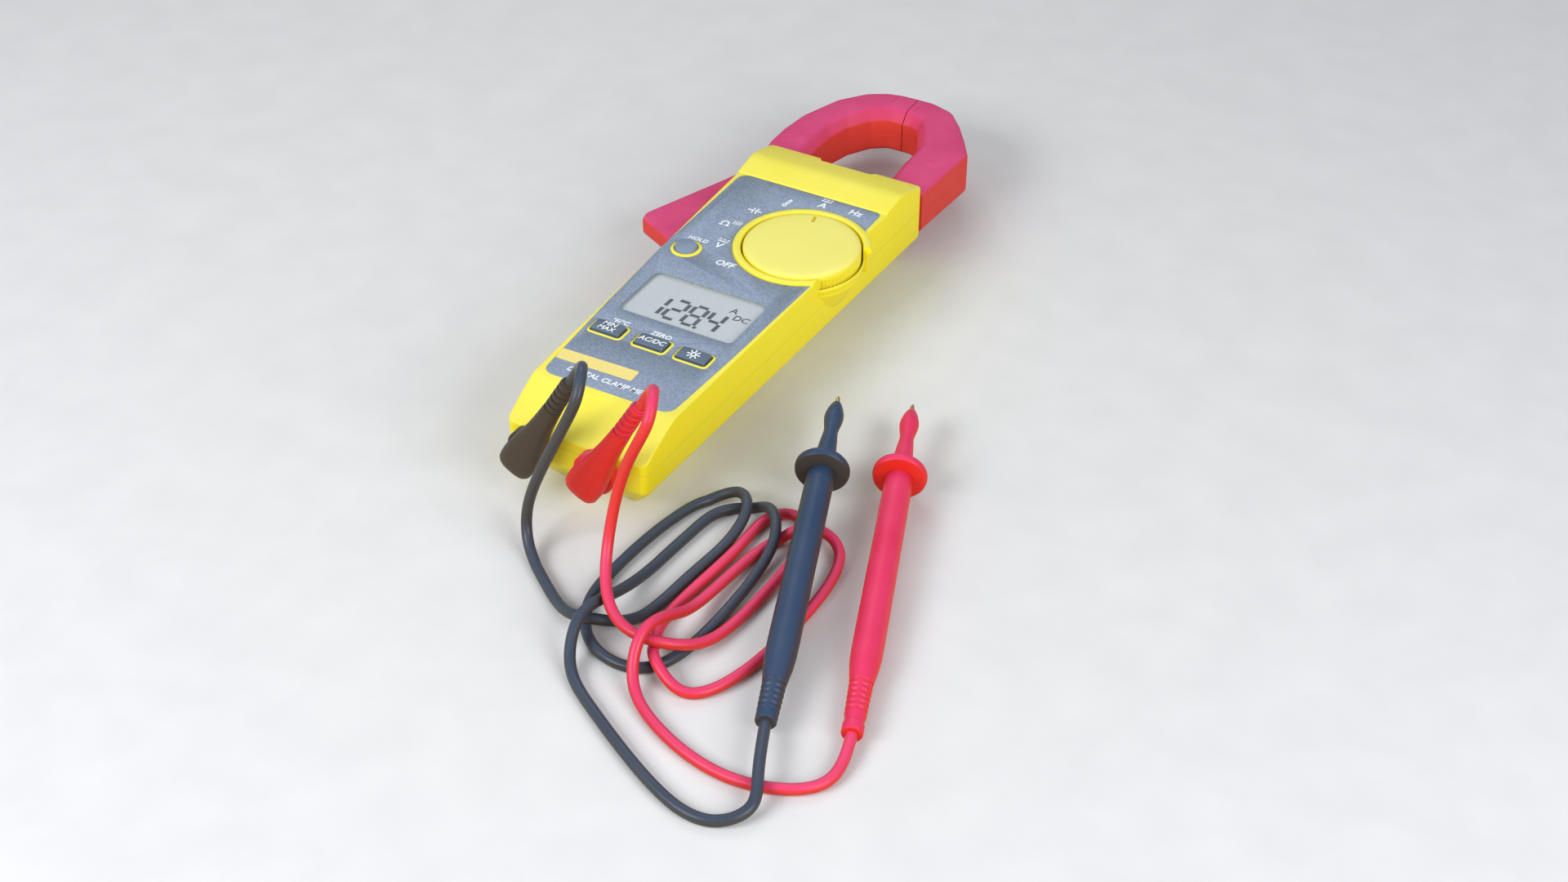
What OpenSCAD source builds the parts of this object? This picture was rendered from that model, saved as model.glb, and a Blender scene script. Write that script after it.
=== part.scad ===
// Clamp meter with two test leads: millimetres, +Z up, lying on its back.
// The origin is on the back face, mid-length; +Y points to the jaws.

/* [Case] */
// Y of the end face that carries the input jacks
case_y0 = -103.5; // [-106:0.5:-102]
// Y of the end face at the jaws
case_y1 = 50.7; // [50:0.1:51]
// Half width of the case at the jack end
half_w0 = 22; // [21.6:0.1:22.4]
// Half width of the case at the jaw end
half_w1 = 26.5; // [26.2:0.1:27]
// Height of the front face above the back
case_h = 27; // [26.8:0.1:27.4]
// Height of the parting line between the two shells
split_z = 17; // [16.5:0.1:17.2]
// Thickness of the case walls
wall = 2.2; // [1.8:0.1:2.4]

/* [Jaws] */
// Lowest point of the jaws above the back
jaw_z0 = 8; // [7.9:0.1:8.1]
// Thickness of the jaws
jaw_t = 14.3; // [14:0.1:14.4]
// Chamfer round the conductor opening
throat_chamfer = 3.2; // [2:0.1:3.4]

/* [Controls] */
// Radius of the rotary knob
knob_r = 17.5; // [17:0.1:17.7]
// Height of the knob's top above the back
knob_top = 28.4; // [28:0.1:29]
// Width of the display window
lcd_w = 37; // [36:0.5:38]
// Depth of the display window
lcd_d = 21.4; // [20:0.2:22]
// Width of a key
key_w = 9.3; // [8.5:0.1:9.6]
// Depth of a key
key_d = 4.8; // [4.4:0.1:5]

/* [Leads] */
// Diameter of the lead's cable
lead_d = 3; // [2.8:0.1:3.2]

/* [Hidden] */
$fn = 48;
gap = 0.3;
deck = 2;                        // thickness of the front face
corner_jacks = 2.2;              // corner radius of the case at the jack end
corner_jaws = 1.8;               // and at the jaw end
chamfer_z = 9.5;                 // where the back chamfer meets the upright walls
chamfer_in = 9;
jaw_z1 = jaw_z0 + jaw_t;
jaw_mid = jaw_z0 + jaw_t / 2;
pivot = [-14, 42];
pivot_r = 2.5;
lever_z0 = 13;
lever_z1 = 19;
knob_c = [12, 0];
cup_floor = 19.4;                // underside of the recess that the knob sits in
cup_t = 1.2;
board_z = 17.4;
board_t = 1.6;
lcd_c = [0, -42];
hold_c = [-17.6, -16.7];
key_x = [-15, -0.8, 12.6];
key_y = -62.8;
jack_x = [-13, 8];               // black, red
jack_z = 15.4;
plug_lean = 30;                  // lean of the plugs' arms towards +X
plug_y = -110;
arm_len = 35.5;
battery_x = 6;
battery_r = 5.2;
battery_z = 9;
battery_y = [-82, -37.5];
door = [[-13, -88], [13, -30]];
case_screw_at = [[-2.5, -95.5], [-6, 27.5], [14, 27.5]];
jaw_screw_at = [[6, 40], [16, 40]];
floor_z = lead_d / 2 + 0.1;

// Probe tips and ends, from the metal point to the end that the cable enters.
probe_line = [[[47.4, -43.4, 13.7], [87.2, -155.5, 4.8]], [[64.5, -31.2, 9.1], [106.1, -147.4, 2.9]]];

// Routes of the two leads, from the plug's strain relief to the probe.
black_route = [[4.75, -110, 46], [7.5, -110.2, 50.8], [10.6, -112.6, 55], [13.6, -117.2, 56.8],
    [15.2, -121.6, 54], [13.8, -123.6, 48.5], [0, -123, 19], [-2, -124.5, 8], [2, -129, 2.6],
    [20, -142.3, 2.2], [28, -145.5, 4.8], [34, -143.5, 4.4], [39.5, -136, 1.9], [42.3, -118, floor_z],
    [44.4, -100, 2], [44, -89, 5], [38.6, -83.6, 4.7], [31.3, -87, floor_z], [26.5, -100, floor_z],
    [24, -124, floor_z], [25.5, -138, floor_z], [34, -149.5, floor_z], [46.5, -152.3, floor_z],
    [54.8, -144, floor_z], [57.4, -108, 2], [55.8, -94.5, 5.2], [49.5, -86, 5.1], [43, -84.8, 1.8],
    [37, -89, floor_z], [34, -100, floor_z], [32, -124, 2.4], [31.2, -140, 7.5], [30.5, -149, 8.2],
    [34, -159, 3], [47, -169, floor_z], [78, -185, floor_z], [91, -185.3, floor_z], [96.5, -179, 3],
    [94, -171, 4.8], probe_line[0][1]];
red_route = [[25.75, -110, 46], [28.5, -110.2, 51], [31.6, -112.6, 55.3], [34.4, -117.2, 57],
    [36, -121.6, 54.3], [34.6, -123.8, 49], [29.5, -125, 36], [28, -131, 18], [33, -140, 10.8],
    [40, -145.4, 8.2], [49, -147, 7.8], [55.8, -142.8, 5.4], [60.6, -132.5, 2.3], [63, -102, floor_z],
    [62.2, -89, floor_z], [58.7, -82.6, floor_z], [51.7, -82.4, floor_z], [48.2, -89.3, floor_z],
    [47.9, -100, floor_z], [45.6, -125, floor_z], [46.5, -138, 2.2], [49.6, -145, 3.8], [52.5, -149.4, 5],
    [62.5, -153.5, 2], [70.5, -145.5, floor_z], [75.5, -118, floor_z], [73.8, -92.5, 2.6],
    [68, -87.3, 4.2], [61, -88.2, 4.8], [56, -92.5, 2], [53.2, -99.5, floor_z], [51, -126, 3.8],
    [50.3, -137, 8.4], [48.8, -147.8, 11], [51, -157, 4], [62, -165.5, floor_z], [82, -172, floor_z],
    [98, -170, floor_z], [107.5, -162, floor_z], probe_line[1][1]];

// Each jaw as pairs of points across its ring: outer edge, inner edge.
moving_ring = [[[-0.7, 104.4], [-0.7, 91.4]], [[-11, 103.4], [-6.8, 91.3]], [[-17.6, 99.8], [-10.8, 87.5]],
    [[-24.6, 91], [-14.8, 81.3]], [[-29.6, 77], [-16.9, 72.9]], [[-30.9, 66], [-17.4, 63.8]],
    [[-30.9, 57.5], [-16.5, 56.6]], [[-29.6, 51.1], [-15.5, 51.1]]];
fixed_ring = [[[26.5, 51.1], [12.6, 51.1]], [[27.5, 65.6], [11.2, 65]], [[28.7, 79.2], [11.3, 76]],
    [[23.6, 87.8], [9.6, 81.6]], [[18.6, 94.9], [7.7, 86.2]], [[12.5, 101.9], [5.6, 89.7]],
    [[3, 104.4], [1.3, 91.4]], [[-0.4, 104.4], [-0.4, 91.4]]];

// Plate of the lever: its free edge, and the edge inside the case.
lever_outer = [[-27.5, 53], [-28.6, 50], [-34, 34.5], [-44.6, 5.8], [-45.5, 4.2], [-45, 2.6], [-43.4, 1.6],
    [-39.1, -0.9], [-34.1, -3.4], [-25, -8]];
lever_inner = [[-20.5, -6.6], [-20.5, 34], [-14, 36], [-10, 44], [-17, 53]];

// ---- helpers ----
function unit(v) = v / norm(v);
function reversed(list) = [for (i = [len(list) - 1:-1:0]) list[i]];
function corner(c, r, a0) = [for (i = [0:4]) c + r * [cos(a0 + i * 22.5), sin(a0 + i * 22.5)]];

// Plan outline of the case, moved in by a distance.
function case_plan(inset) = let (r0 = max(corner_jacks - inset, 0.6), r1 = max(corner_jaws - inset, 0.6),
    e0 = r0 + inset, e1 = r1 + inset) concat(
    corner([half_w1 - e1, case_y1 - e1], r1, 0), corner([e1 - half_w1, case_y1 - e1], r1, 90),
    corner([e0 - half_w0, case_y0 + e0], r0, 180), corner([half_w0 - e0, case_y0 + e0], r0, 270));

// Outline of a jaw, its outer and inner edges moved in by their own distances.
function jaw_plan(ring, outer_in, inner_in) = concat(
    [for (p = ring) p[0] + outer_in * unit(p[1] - p[0])],
    reversed([for (p = ring) p[1] + inner_in * unit(p[0] - p[1])]));

// Outline of a strip of a width down the middle of a jaw's ring.
function jaw_strip(ring, w, from, to) = let (mid = [for (i = [from:to]) (ring[i][0] + ring[i][1]) / 2],
    dir = [for (i = [from:to]) unit(ring[i][1] - ring[i][0])]) concat(
    [for (i = [0:len(mid) - 1]) mid[i] - dir[i] * w / 2],
    reversed([for (i = [0:len(mid) - 1]) mid[i] + dir[i] * w / 2]));

// Faces that close an outline: one face, or for a bent strip a row of quads across it.
function cap(n, strip) = strip ? [for (i = [0:n / 2 - 2]) [i, i + 1, n - 2 - i, n - 1 - i]]
    : [[for (i = [0:n - 1]) i]];

// A solid through a stack of outlines that have as many points as each other.
module loft(sections, strip = false) {
    n = len(sections[0][0]);
    top = (len(sections) - 1) * n;
    polyhedron(
        points = [for (s = sections) for (p = s[0]) [p[0], p[1], s[1]]],
        faces = concat(cap(n, strip), [for (f = cap(n, strip)) [for (i = reversed(f)) top + i]],
            [for (j = [0:len(sections) - 2]) for (i = [0:n - 1])
                [j * n + i, (j + 1) * n + i, (j + 1) * n + (i + 1) % n, j * n + (i + 1) % n]]));
}

function tangents(pts) = [for (i = [0:len(pts) - 1])
    unit(pts[min(i + 1, len(pts) - 1)] - pts[max(i - 1, 0)])];
function carried(dirs, i, n, done) = i == len(dirs) ? done
    : let (v = unit(n - (n * dirs[i]) * dirs[i])) carried(dirs, i + 1, v, concat(done, [v]));

// A round tube with a ring at each point of its route.
module tube(pts, r, sides = 8) {
    dirs = tangents(pts);
    normals = carried(dirs, 0, [0, 1, 0.1], []);
    last = (len(pts) - 1) * sides;
    polyhedron(
        points = [for (i = [0:len(pts) - 1]) for (a = [0:sides - 1]) pts[i] + r *
            (normals[i] * cos(a * 360 / sides) + cross(dirs[i], normals[i]) * sin(a * 360 / sides))],
        faces = concat([[for (a = [0:sides - 1]) a]], [[for (a = [sides - 1:-1:0]) last + a]],
            [for (i = [0:len(pts) - 2]) for (a = [0:sides - 1])
                [i * sides + a, (i + 1) * sides + a, (i + 1) * sides + (a + 1) % sides,
                 i * sides + (a + 1) % sides]]));
}

module bar(x0, x1, y0, y1, z0, z1) translate([x0, y0, z0]) cube([x1 - x0, y1 - y0, z1 - z0]);
module disc(c, r, z0, z1) translate([c[0], c[1], z0]) cylinder(r = r, h = z1 - z0);
module slab(c, w, d, z0, z1) bar(c[0] - w / 2, c[0] + w / 2, c[1] - d / 2, c[1] + d / 2, z0, z1);

// ---- case ----
module case_cuts() {
    // mouths for the two jaws and the slot that the lever swings through
    bar(-30, -6.1, 41, 52, jaw_z0 - 0.4, jaw_z1 + 0.5);
    bar(9.5, 24.6, 44, 52, jaw_z0 - 0.2, jaw_z1 + 0.2);
    bar(-30, -20, -10.2, 52, lever_z0 - 0.4, lever_z1 + 0.3);
    for (x = jack_x) translate([x, case_y0 + 6, jack_z]) rotate([90, 0, 0]) cylinder(r = 4, h = 8);
}

module rear_case() color([0.86, 0.66, 0.12]) difference() {
    union() {
        difference() {
            union() {
                linear_extrude(1) polygon(case_plan(chamfer_in));
                loft([[case_plan(chamfer_in + 0.3), 0.7], [case_plan(0), chamfer_z + 0.5],
                    [case_plan(0), split_z]]);
            }
            loft([[case_plan(chamfer_in + 1.6), 2.5], [case_plan(wall), chamfer_z + 0.5],
                [case_plan(wall), split_z + 1]]);
        }
        disc(pivot, 4.6, 2, jaw_z0 - 0.4);
        for (p = case_screw_at) disc(p, 3.2, 2, split_z - 0.05);
        // seats that the input jacks lie in
        for (x = jack_x) bar(x - 5, x + 5, -101.6, -97, 9, jack_z);
        // battery tray walls
        for (x = [-13, 11.8]) bar(x, x + 1.2, battery_y[0] - 2, battery_y[1] + 2, 2, 13);
    }
    disc(pivot, pivot_r + 0.02, 2.4, 30);
    for (p = case_screw_at) {
        disc(p, 1.6, -1, 30);
        disc(p, 2.8, -1, 2);
    }
    bar(door[0][0] - gap, door[1][0] + gap, door[0][1] - gap, door[1][1] + gap, -1, 3.1);
    for (x = jack_x) translate([x, -90, jack_z]) rotate([90, 0, 0]) cylinder(r = 3.12, h = 12);
    case_cuts();
}

// Where the knob's cup and its rim may stand: over the case, and out of its right wall past
// the stretch where a thumb reaches the knob.
module rim_side() union() {
    polygon(case_plan(0.02));
    translate([20, 5]) square([14, 12]);
}

module knob_cup() difference() {
    union() {
        intersection() {
            disc(knob_c, knob_r + 0.5 + cup_t, cup_floor, case_h + 0.4);
            linear_extrude(case_h + 1) rim_side();
        }
        disc(knob_c, knob_r + 1.1, cup_floor, 22.8);
    }
    disc(knob_c, knob_r + 0.5, cup_floor + cup_t, case_h + 2);
    disc(knob_c, 4.1, 0, case_h);
}

module key_hole(c, grow) slab(c, key_w + grow, key_d + grow, case_h - deck - 1, case_h + 1);

module front_case() color([0.95, 0.76, 0.1]) difference() {
    union() {
        difference() {
            union() {
                loft([[case_plan(0), split_z], [case_plan(0), case_h - 1.4],
                    [case_plan(2.8), case_h + 1.4]]);
                intersection() {
                    disc(knob_c, knob_r + 3, case_h - 1, case_h + 0.4);
                    linear_extrude(case_h + 1) rim_side();
                }
            }
            loft([[case_plan(wall), split_z - 1], [case_plan(wall), case_h - deck]]);
            disc(knob_c, knob_r + 0.5, cup_floor + cup_t, case_h + 2);
            // the front face along its length: slope, flat, then the ridge at the jaws
            difference() {
                rotate([90, 0, 90]) translate([0, 0, -40]) linear_extrude(80) polygon(
                    [[case_y0 - 1, 19.4], [-94, 24.9], [-88, case_h], [28.2, case_h],
                     [36.5, case_h + 1.2], [39.5, case_h + 1.2], [case_y1 + 1, 24.8],
                     [case_y1 + 1, 40], [case_y0 - 1, 40]]);
                disc(knob_c, knob_r + 3, case_h - 1, case_h + 0.4);
            }
        }
        // end wall under the sloping part of the front face
        intersection() {
            loft([[case_plan(0), split_z], [case_plan(0), 25]]);
            rotate([90, 0, 90]) translate([0, 0, -40]) linear_extrude(80) polygon(
                [[case_y0 - 1, 17.4], [case_y0 - 1, 19.4], [-94, 24.9], [-88, case_h],
                 [-88, case_h - deck], [-94, 24.9 - deck]]);
        }
        knob_cup();
        disc(pivot, 3.6, jaw_z1 + 0.6, case_h - deck + 0.1);
        for (p = case_screw_at) disc(p, 3.2, split_z, p[1] < 0 ? 21 : case_h - deck + 0.1);
        for (p = jaw_screw_at) disc(p, 3, jaw_z1, case_h - deck + 0.1);
    }
    disc(knob_c, 4.1, 0, case_h);
    disc(pivot, pivot_r + 0.02, 0, case_h - deck - 0.3);
    for (p = case_screw_at) disc(p, 1.2, 0, p[1] < 0 ? 20 : case_h - deck);
    for (p = jaw_screw_at) disc(p, 1.1, 0, case_h - deck);
    translate([0, 0, case_h - 0.4]) linear_extrude(3) difference() {
        polygon(label_plan(0.1));
        translate(knob_c) circle(r = knob_r + 3);
    }
    slab(lcd_c, lcd_w + 0.2, lcd_d + 0.2, case_h - deck - 1, case_h + 1);
    for (x = key_x) key_hole([x, key_y], 0.6);
    disc(hold_c, 3.7, case_h - deck - 1, case_h + 1);
    bar(-8, 10, 48.2, 52, -1, case_h + 1);
    case_cuts();
}

// Outline of the printed label, let out by a distance.
function label_plan(grow) = [[23.3 + grow, 27.8 + grow], [-22.8 - grow, 27.8 + grow],
    [-24.2 - grow, 26 + grow], [-24.1 - grow, -19.6], [-22.5 - grow, -52.7], [-21 - grow, -75],
    [-20.1 - grow, -85.6 - grow], [-18.1, -87.6 - grow], [18.1, -87.6 - grow],
    [20.1 + grow, -85.6 - grow], [22 + grow, -59.7], [23.8 + grow, -17.4], [24.6 + grow, 24.7 + grow]];

module front_label() color([0.47, 0.54, 0.62]) translate([0, 0, case_h - 0.4]) linear_extrude(0.45)
    difference() {
        polygon(label_plan(0));
        translate(knob_c) circle(r = knob_r + 3.1);
        translate(lcd_c) square([lcd_w + 0.2, lcd_d + 0.2], center = true);
        for (x = key_x) translate([x, key_y]) square([key_w + 0.6, key_d + 0.6], center = true);
        translate(hold_c) circle(r = 3.7);
    }

module lcd_lens() color([0.78, 0.82, 0.83]) slab(lcd_c, lcd_w, lcd_d, case_h - 1.6, case_h - 0.3);

module lcd_panel() color([0.7, 0.75, 0.72]) union() {
    slab(lcd_c, lcd_w + 3, lcd_d + 3.6, 22, case_h - deck - 0.1);
    for (y = [-1, 1]) slab(lcd_c + [0, y * 11], lcd_w - 4, 1.6, board_z + board_t, 22);
}

module circuit_board() color([0.1, 0.4, 0.25]) difference() {
    union() {
        bar(-18, 18, -84, -10.6, board_z, board_z + board_t);
        bar(-0.8, 21.5, -10.6, 23, board_z, board_z + board_t);
        bar(-8, 8, -30, -20, board_z + board_t, board_z + board_t + 1);
    }
    disc(knob_c, 4.4, 0, 30);
}

// ---- power and inputs ----
module input_jack(i, tint) color(tint) translate([jack_x[i], case_y0 + 16, jack_z]) rotate([90, 0, 0])
    difference() {
        union() {
            cylinder(r = 3.1, h = 12.5);
            cylinder(r = 3.9, h = 2);
        }
        translate([0, 0, 2.4]) cylinder(r = 2.05, h = 15);
    }

module battery_door() color([0.82, 0.62, 0.12]) difference() {
    union() {
        bar(door[0][0], door[1][0], door[0][1], door[1][1], 0, 2.2);
        bar(-9, 9, door[1][1] - 4, door[1][1] + 2.4, 3.2, 4.2);
        bar(-9, 9, door[1][1] - 4, door[1][1] - 1, 2, 3.5);
    }
    disc([0, door[0][1] + 3.2], 1.4, -1, 4);
    disc([0, door[0][1] + 3.2], 2.4, -1, 1.2);
}

module screw(c, head_r, head_z, head_h, shank_r, tip_z) difference() {
    union() {
        disc(c, head_r, head_z, head_z + head_h);
        disc(c, shank_r, min(head_z, tip_z), max(head_z, tip_z));
    }
    slab(c, 2.4, 0.7, head_z - 1, head_z + 0.8);
    slab(c, 0.7, 2.4, head_z - 1, head_z + 0.8);
}

module battery_door_screw() color([0.6, 0.6, 0.6])
    screw([0, door[0][1] + 3.2], 2.2, 0.1, 1.1, 1.3, 4.5);

module batteries() color([0.2, 0.2, 0.22]) for (s = [-1, 1])
    translate([s * battery_x, battery_y[s > 0 ? 0 : 1], battery_z]) rotate([-90 * s, 0, 0]) {
        cylinder(r = battery_r, h = 43.5);
        translate([0, 0, 43.5]) cylinder(r = 1.9, h = 1);
    }

module battery_contacts() color([0.8, 0.78, 0.7]) for (y = [battery_y[0] - 1.2, battery_y[1] + 0.2])
    for (x = y < -60 ? [-battery_x, battery_x] : [0])
        slab([x, y + 0.5], y < -60 ? 8 : 20, 0.8, 4.5, 13.5);

module buzzer() color([0.15, 0.15, 0.16]) difference() {
    disc([8, -27], 5.5, board_z - 4, board_z - 0.1);
    disc([8, -27], 1, board_z - 5, board_z - 3);
}

module keypad_membrane() color([0.5, 0.5, 0.52]) {
    for (x = key_x) slab([x, key_y], key_w - 1, key_d - 1, board_z + board_t, 22.6);
    slab([(key_x[0] + key_x[2]) / 2, key_y], key_x[2] - key_x[0] + key_w, 2, board_z + board_t, 20.4);
    disc(hold_c, 3, board_z + board_t, 22.4);
}

module case_screws() color([0.62, 0.62, 0.64])
    for (p = case_screw_at) screw(p, 2.6, 0.2, 1.7, 1.18, p[1] < 0 ? 19 : 22);

module jaw_screws() color([0.62, 0.62, 0.64])
    for (p = jaw_screw_at) screw(p, 2.6, jaw_z0 + 0.8, 1.6, 1.08, 23.5);

// ---- jaws ----
module pivot_pin() color([0.7, 0.7, 0.72]) disc(pivot, pivot_r, 2.6, case_h - deck - 0.5);

module jaw_spring() {
    turns = 4;
    steps = 12;
    coil_r = 4.9;
    wire_r = 0.45;
    pitch = 1.05;
    color([0.7, 0.7, 0.7]) tube(concat(
        [for (i = [0:turns * steps]) let (a = i * 360 / steps) [pivot[0] + coil_r * cos(a),
            pivot[1] + coil_r * sin(a), jaw_z1 - 2.4 + pitch * i / steps]],
        [[pivot[0] + coil_r, pivot[1] + 4, jaw_z1 - 2.4 + pitch * turns]]), wire_r, 6);
}

// One half of a jaw: side is 1 for the front half and -1 for the back half.
module jaw_half(ring, side) {
    far = side > 0 ? jaw_z1 : jaw_z0;
    split = jaw_mid + side * 0.03;
    c = side > 0 ? throat_chamfer : 1.3;
    levels = [[jaw_plan(ring, 0, 0), split], [jaw_plan(ring, 0, 0), far - side * c],
        [jaw_plan(ring, 0, c * 0.62), far - side * c * 0.38],
        [jaw_plan(ring, 1.2, c), far]];
    loft(side > 0 ? levels : reversed(levels), strip = true);
}

module jaw_layer(side) translate([0, 0, side > 0 ? jaw_mid + 0.05 : jaw_z0 + 0.15])
    linear_extrude(jaw_t / 2 - 0.2) children();

module core_pocket(ring, from, to) translate([0, 0, jaw_z0 + 1.7])
    linear_extrude(jaw_t - 3.4) polygon(jaw_strip(ring, 5.4, from, to));

module fixed_jaw(side) difference() {
    union() {
        jaw_half(fixed_ring, side);
        jaw_layer(side) polygon([[24, 53], [13.9, 53], [10.2, 50.4], [10.2, 46], [0, 46], [0, 34],
            [20.4, 34], [20.4, 44.3], [24, 44.3]]);
    }
    core_pocket(fixed_ring, 0, 7);
    for (p = jaw_screw_at) {
        disc(p, 1.4, 0, 30);
        disc(p, 2.8, 0, jaw_z0 + 2.5);
    }
}

module moving_jaw(side) difference() {
    union() {
        jaw_half(moving_ring, side);
        jaw_layer(side) union() {
            translate(pivot) circle(r = 7.5);
            polygon([[-26.1, 53], [-16.4, 53], [-8.4, 46], [-20.4, 38], [-22, 44.6], [-25.2, 46.5]]);
        }
        lever_z = side > 0 ? [jaw_mid + 0.05, lever_z1] : [lever_z0, jaw_mid - 0.05];
        translate([0, 0, lever_z[0]]) linear_extrude(lever_z[1] - lever_z[0])
            polygon(concat(lever_outer, lever_inner));
    }
    core_pocket(moving_ring, 0, 6);
    disc(pivot, pivot_r + 0.05, 0, 30);
    disc(pivot, 6.1, jaw_z1 - 3, 30);
}

module fixed_jaw_front() color([0.85, 0.2, 0.25]) fixed_jaw(1);
module fixed_jaw_back() color([0.8, 0.18, 0.22]) fixed_jaw(-1);
module moving_jaw_front() color([0.85, 0.2, 0.25]) moving_jaw(1);
module moving_jaw_back() color([0.8, 0.18, 0.22]) moving_jaw(-1);

module core(ring, from, to) translate([0, 0, jaw_z0 + 1.8])
    linear_extrude(jaw_t - 3.6) polygon(jaw_strip(ring, 5, from, to));

module fixed_core() color([0.35, 0.35, 0.38]) difference() {
    core(fixed_ring, 0, 7);
    bar(-1, 1.1, 90, 110, 0, 30);
}

module moving_core() color([0.35, 0.35, 0.38]) core(moving_ring, 0, 6);

module hall_sensor() color([0.1, 0.1, 0.1]) bar(-0.3, 1, 95.8, 100, 12.4, 16.4);

// ---- controls ----
module rotary_knob() color([0.93, 0.74, 0.12]) difference() {
    union() {
        disc(knob_c, knob_r, cup_floor + cup_t + 0.3, knob_top - 1);
        disc(knob_c, knob_r - 1, knob_top - 1, knob_top);
        disc(knob_c, 4, 16, cup_floor + cup_t + 0.4);
    }
    translate([knob_c[0], knob_c[1], 16.4]) rotate_extrude() translate([3, 0]) square([3, 0.8]);
}

module contact_wiper() color([0.75, 0.65, 0.35]) difference() {
    disc(knob_c, 9, board_z + board_t + 0.06, cup_floor - 0.06);
    disc(knob_c, 4.01, 0, 30);
}

module knob_retainer() color([0.6, 0.6, 0.62]) difference() {
    disc(knob_c, 6, 16.5, 17.1);
    disc(knob_c, 3.01, 0, 30);
    bar(knob_c[0] - 1.5, knob_c[0] + 1.5, knob_c[1], knob_c[1] + 8, 0, 30);
}

module key(c) {
    slab(c, key_w, key_d, 24, 28.1);
    slab(c, key_w + 0.7, key_d + 1.8, 23.6, 24.6);
}

module key_left() color([0.28, 0.32, 0.38]) key([key_x[0], key_y]);
module key_middle() color([0.28, 0.32, 0.38]) key([key_x[1], key_y]);
module key_right() color([0.28, 0.32, 0.38]) key([key_x[2], key_y]);

module hold_button() color([0.36, 0.4, 0.46]) union() {
    disc(hold_c, 3.4, 24, 28.2);
    disc(hold_c, 4.1, 23.6, 24.6);
}

// ---- test leads ----
module plug_body(i, tint) color(tint) translate([jack_x[i], plug_y, jack_z]) difference() {
    union() {
        rotate([-90, 0, 0]) translate([0, 0, 2.2]) cylinder(r = 6.2, h = 4);
        rotate([-90, 0, 0]) translate([0, 0, -1]) cylinder(r = 5, h = 4);
        intersection() {
            rotate([0, plug_lean, 0]) rotate_extrude() polygon([[0, -5.5], [3, -5.5], [5.3, -3], [5.3, 0.5],
                [4.6, 6], [3.2, 14], [2.5, 24], [0, 24]]);
            bar(-20, 40, -3, 3, -20, 40);
        }
    }
    rotate([-90, 0, 0]) translate([0, 0, -1.5]) cylinder(r = 1.96, h = 9);
}

module plug_pin(i) color([0.75, 0.72, 0.6]) translate([jack_x[i], plug_y - 1.5, jack_z])
    rotate([-90, 0, 0]) difference() {
        union() {
            cylinder(r = 1.95, h = 20);
            translate([0, 0, 20]) cylinder(r1 = 1.95, r2 = 1.2, h = 0.8);
        }
        translate([0, 0, 10]) cylinder(r = 0.5, h = 12);
    }

module strain_relief(i, tint) color(tint) translate([jack_x[i], plug_y, jack_z]) rotate([0, plug_lean, 0])
    difference() {
        union() {
            translate([0, 0, 24]) cylinder(r = 2, h = arm_len - 24);
            for (k = [0:4]) translate([0, 0, 24.2 + k * 2.3]) cylinder(r = 2.35 - k * 0.03, h = 1.5);
        }
        translate([0, 0, arm_len - 1]) cylinder(r = 1.3, h = 2);
    }

// Turns a shape on +Z to run from the probe's metal point to its cable end.
module along_probe(i) {
    d = probe_line[i][1] - probe_line[i][0];
    translate(probe_line[i][0]) rotate([0, acos(d[2] / norm(d)), atan2(d[1], d[0])]) children();
}

module probe_handle(i, tint) {
    len = norm(probe_line[i][1] - probe_line[i][0]);
    color(tint) along_probe(i) rotate_extrude() polygon(concat(
        [[0, 29.3], [2.4, 29.3], [2.4, 31.8], [3.3, 32], [3.5, 50], [4, 97], [2.9, 105]],
        [for (k = [0:6]) for (e = [[2.4, 0], [2.75, 0.4], [2.75, 1.1], [2.4, 1.4]])
            [e[0], 105.4 + k * 1.8 + e[1]]],
        [[2.6, len - 3.6], [2.7, len], [0, len]]));
}

module finger_guard(i, tint) color(tint) along_probe(i) rotate_extrude()
    polygon([[2.45, 29.4], [6.9, 29.4], [7.5, 30], [7.5, 31], [6.9, 31.6], [2.45, 31.6]]);

module tip_sleeve(i, tint) color(tint) along_probe(i) rotate_extrude()
    polygon([[0.85, 3.4], [1.3, 3.6], [2.5, 8.5], [1.9, 14.5], [2.35, 29.2], [0.85, 29.2]]);

module probe_tip(i) color([0.78, 0.66, 0.4]) along_probe(i) rotate_extrude()
    polygon([[0, 0], [0.5, 0.5], [0.8, 3.4], [0.8, 29.2], [0, 29.2]]);

module lead(route, tint) color(tint) tube(route, lead_d / 2);

function tint(i) = i == 0 ? [0.16, 0.15, 0.17] : [0.72, 0.1, 0.14];
module input_jack_black() input_jack(0, [0.3, 0.3, 0.32]);
module input_jack_red() input_jack(1, [0.6, 0.2, 0.2]);
module plug_body_black() plug_body(0, tint(0));
module plug_body_red() plug_body(1, tint(1));
module plug_pin_black() plug_pin(0);
module plug_pin_red() plug_pin(1);
module strain_relief_black() strain_relief(0, tint(0));
module strain_relief_red() strain_relief(1, tint(1));
module lead_black() lead(black_route, tint(0));
module lead_red() lead(red_route, tint(1));
module probe_handle_black() probe_handle(0, tint(0));
module probe_handle_red() probe_handle(1, tint(1));
module finger_guard_black() finger_guard(0, tint(0));
module finger_guard_red() finger_guard(1, tint(1));
module tip_sleeve_black() tip_sleeve(0, tint(0));
module tip_sleeve_red() tip_sleeve(1, tint(1));
module probe_tip_black() probe_tip(0);
module probe_tip_red() probe_tip(1);

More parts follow.
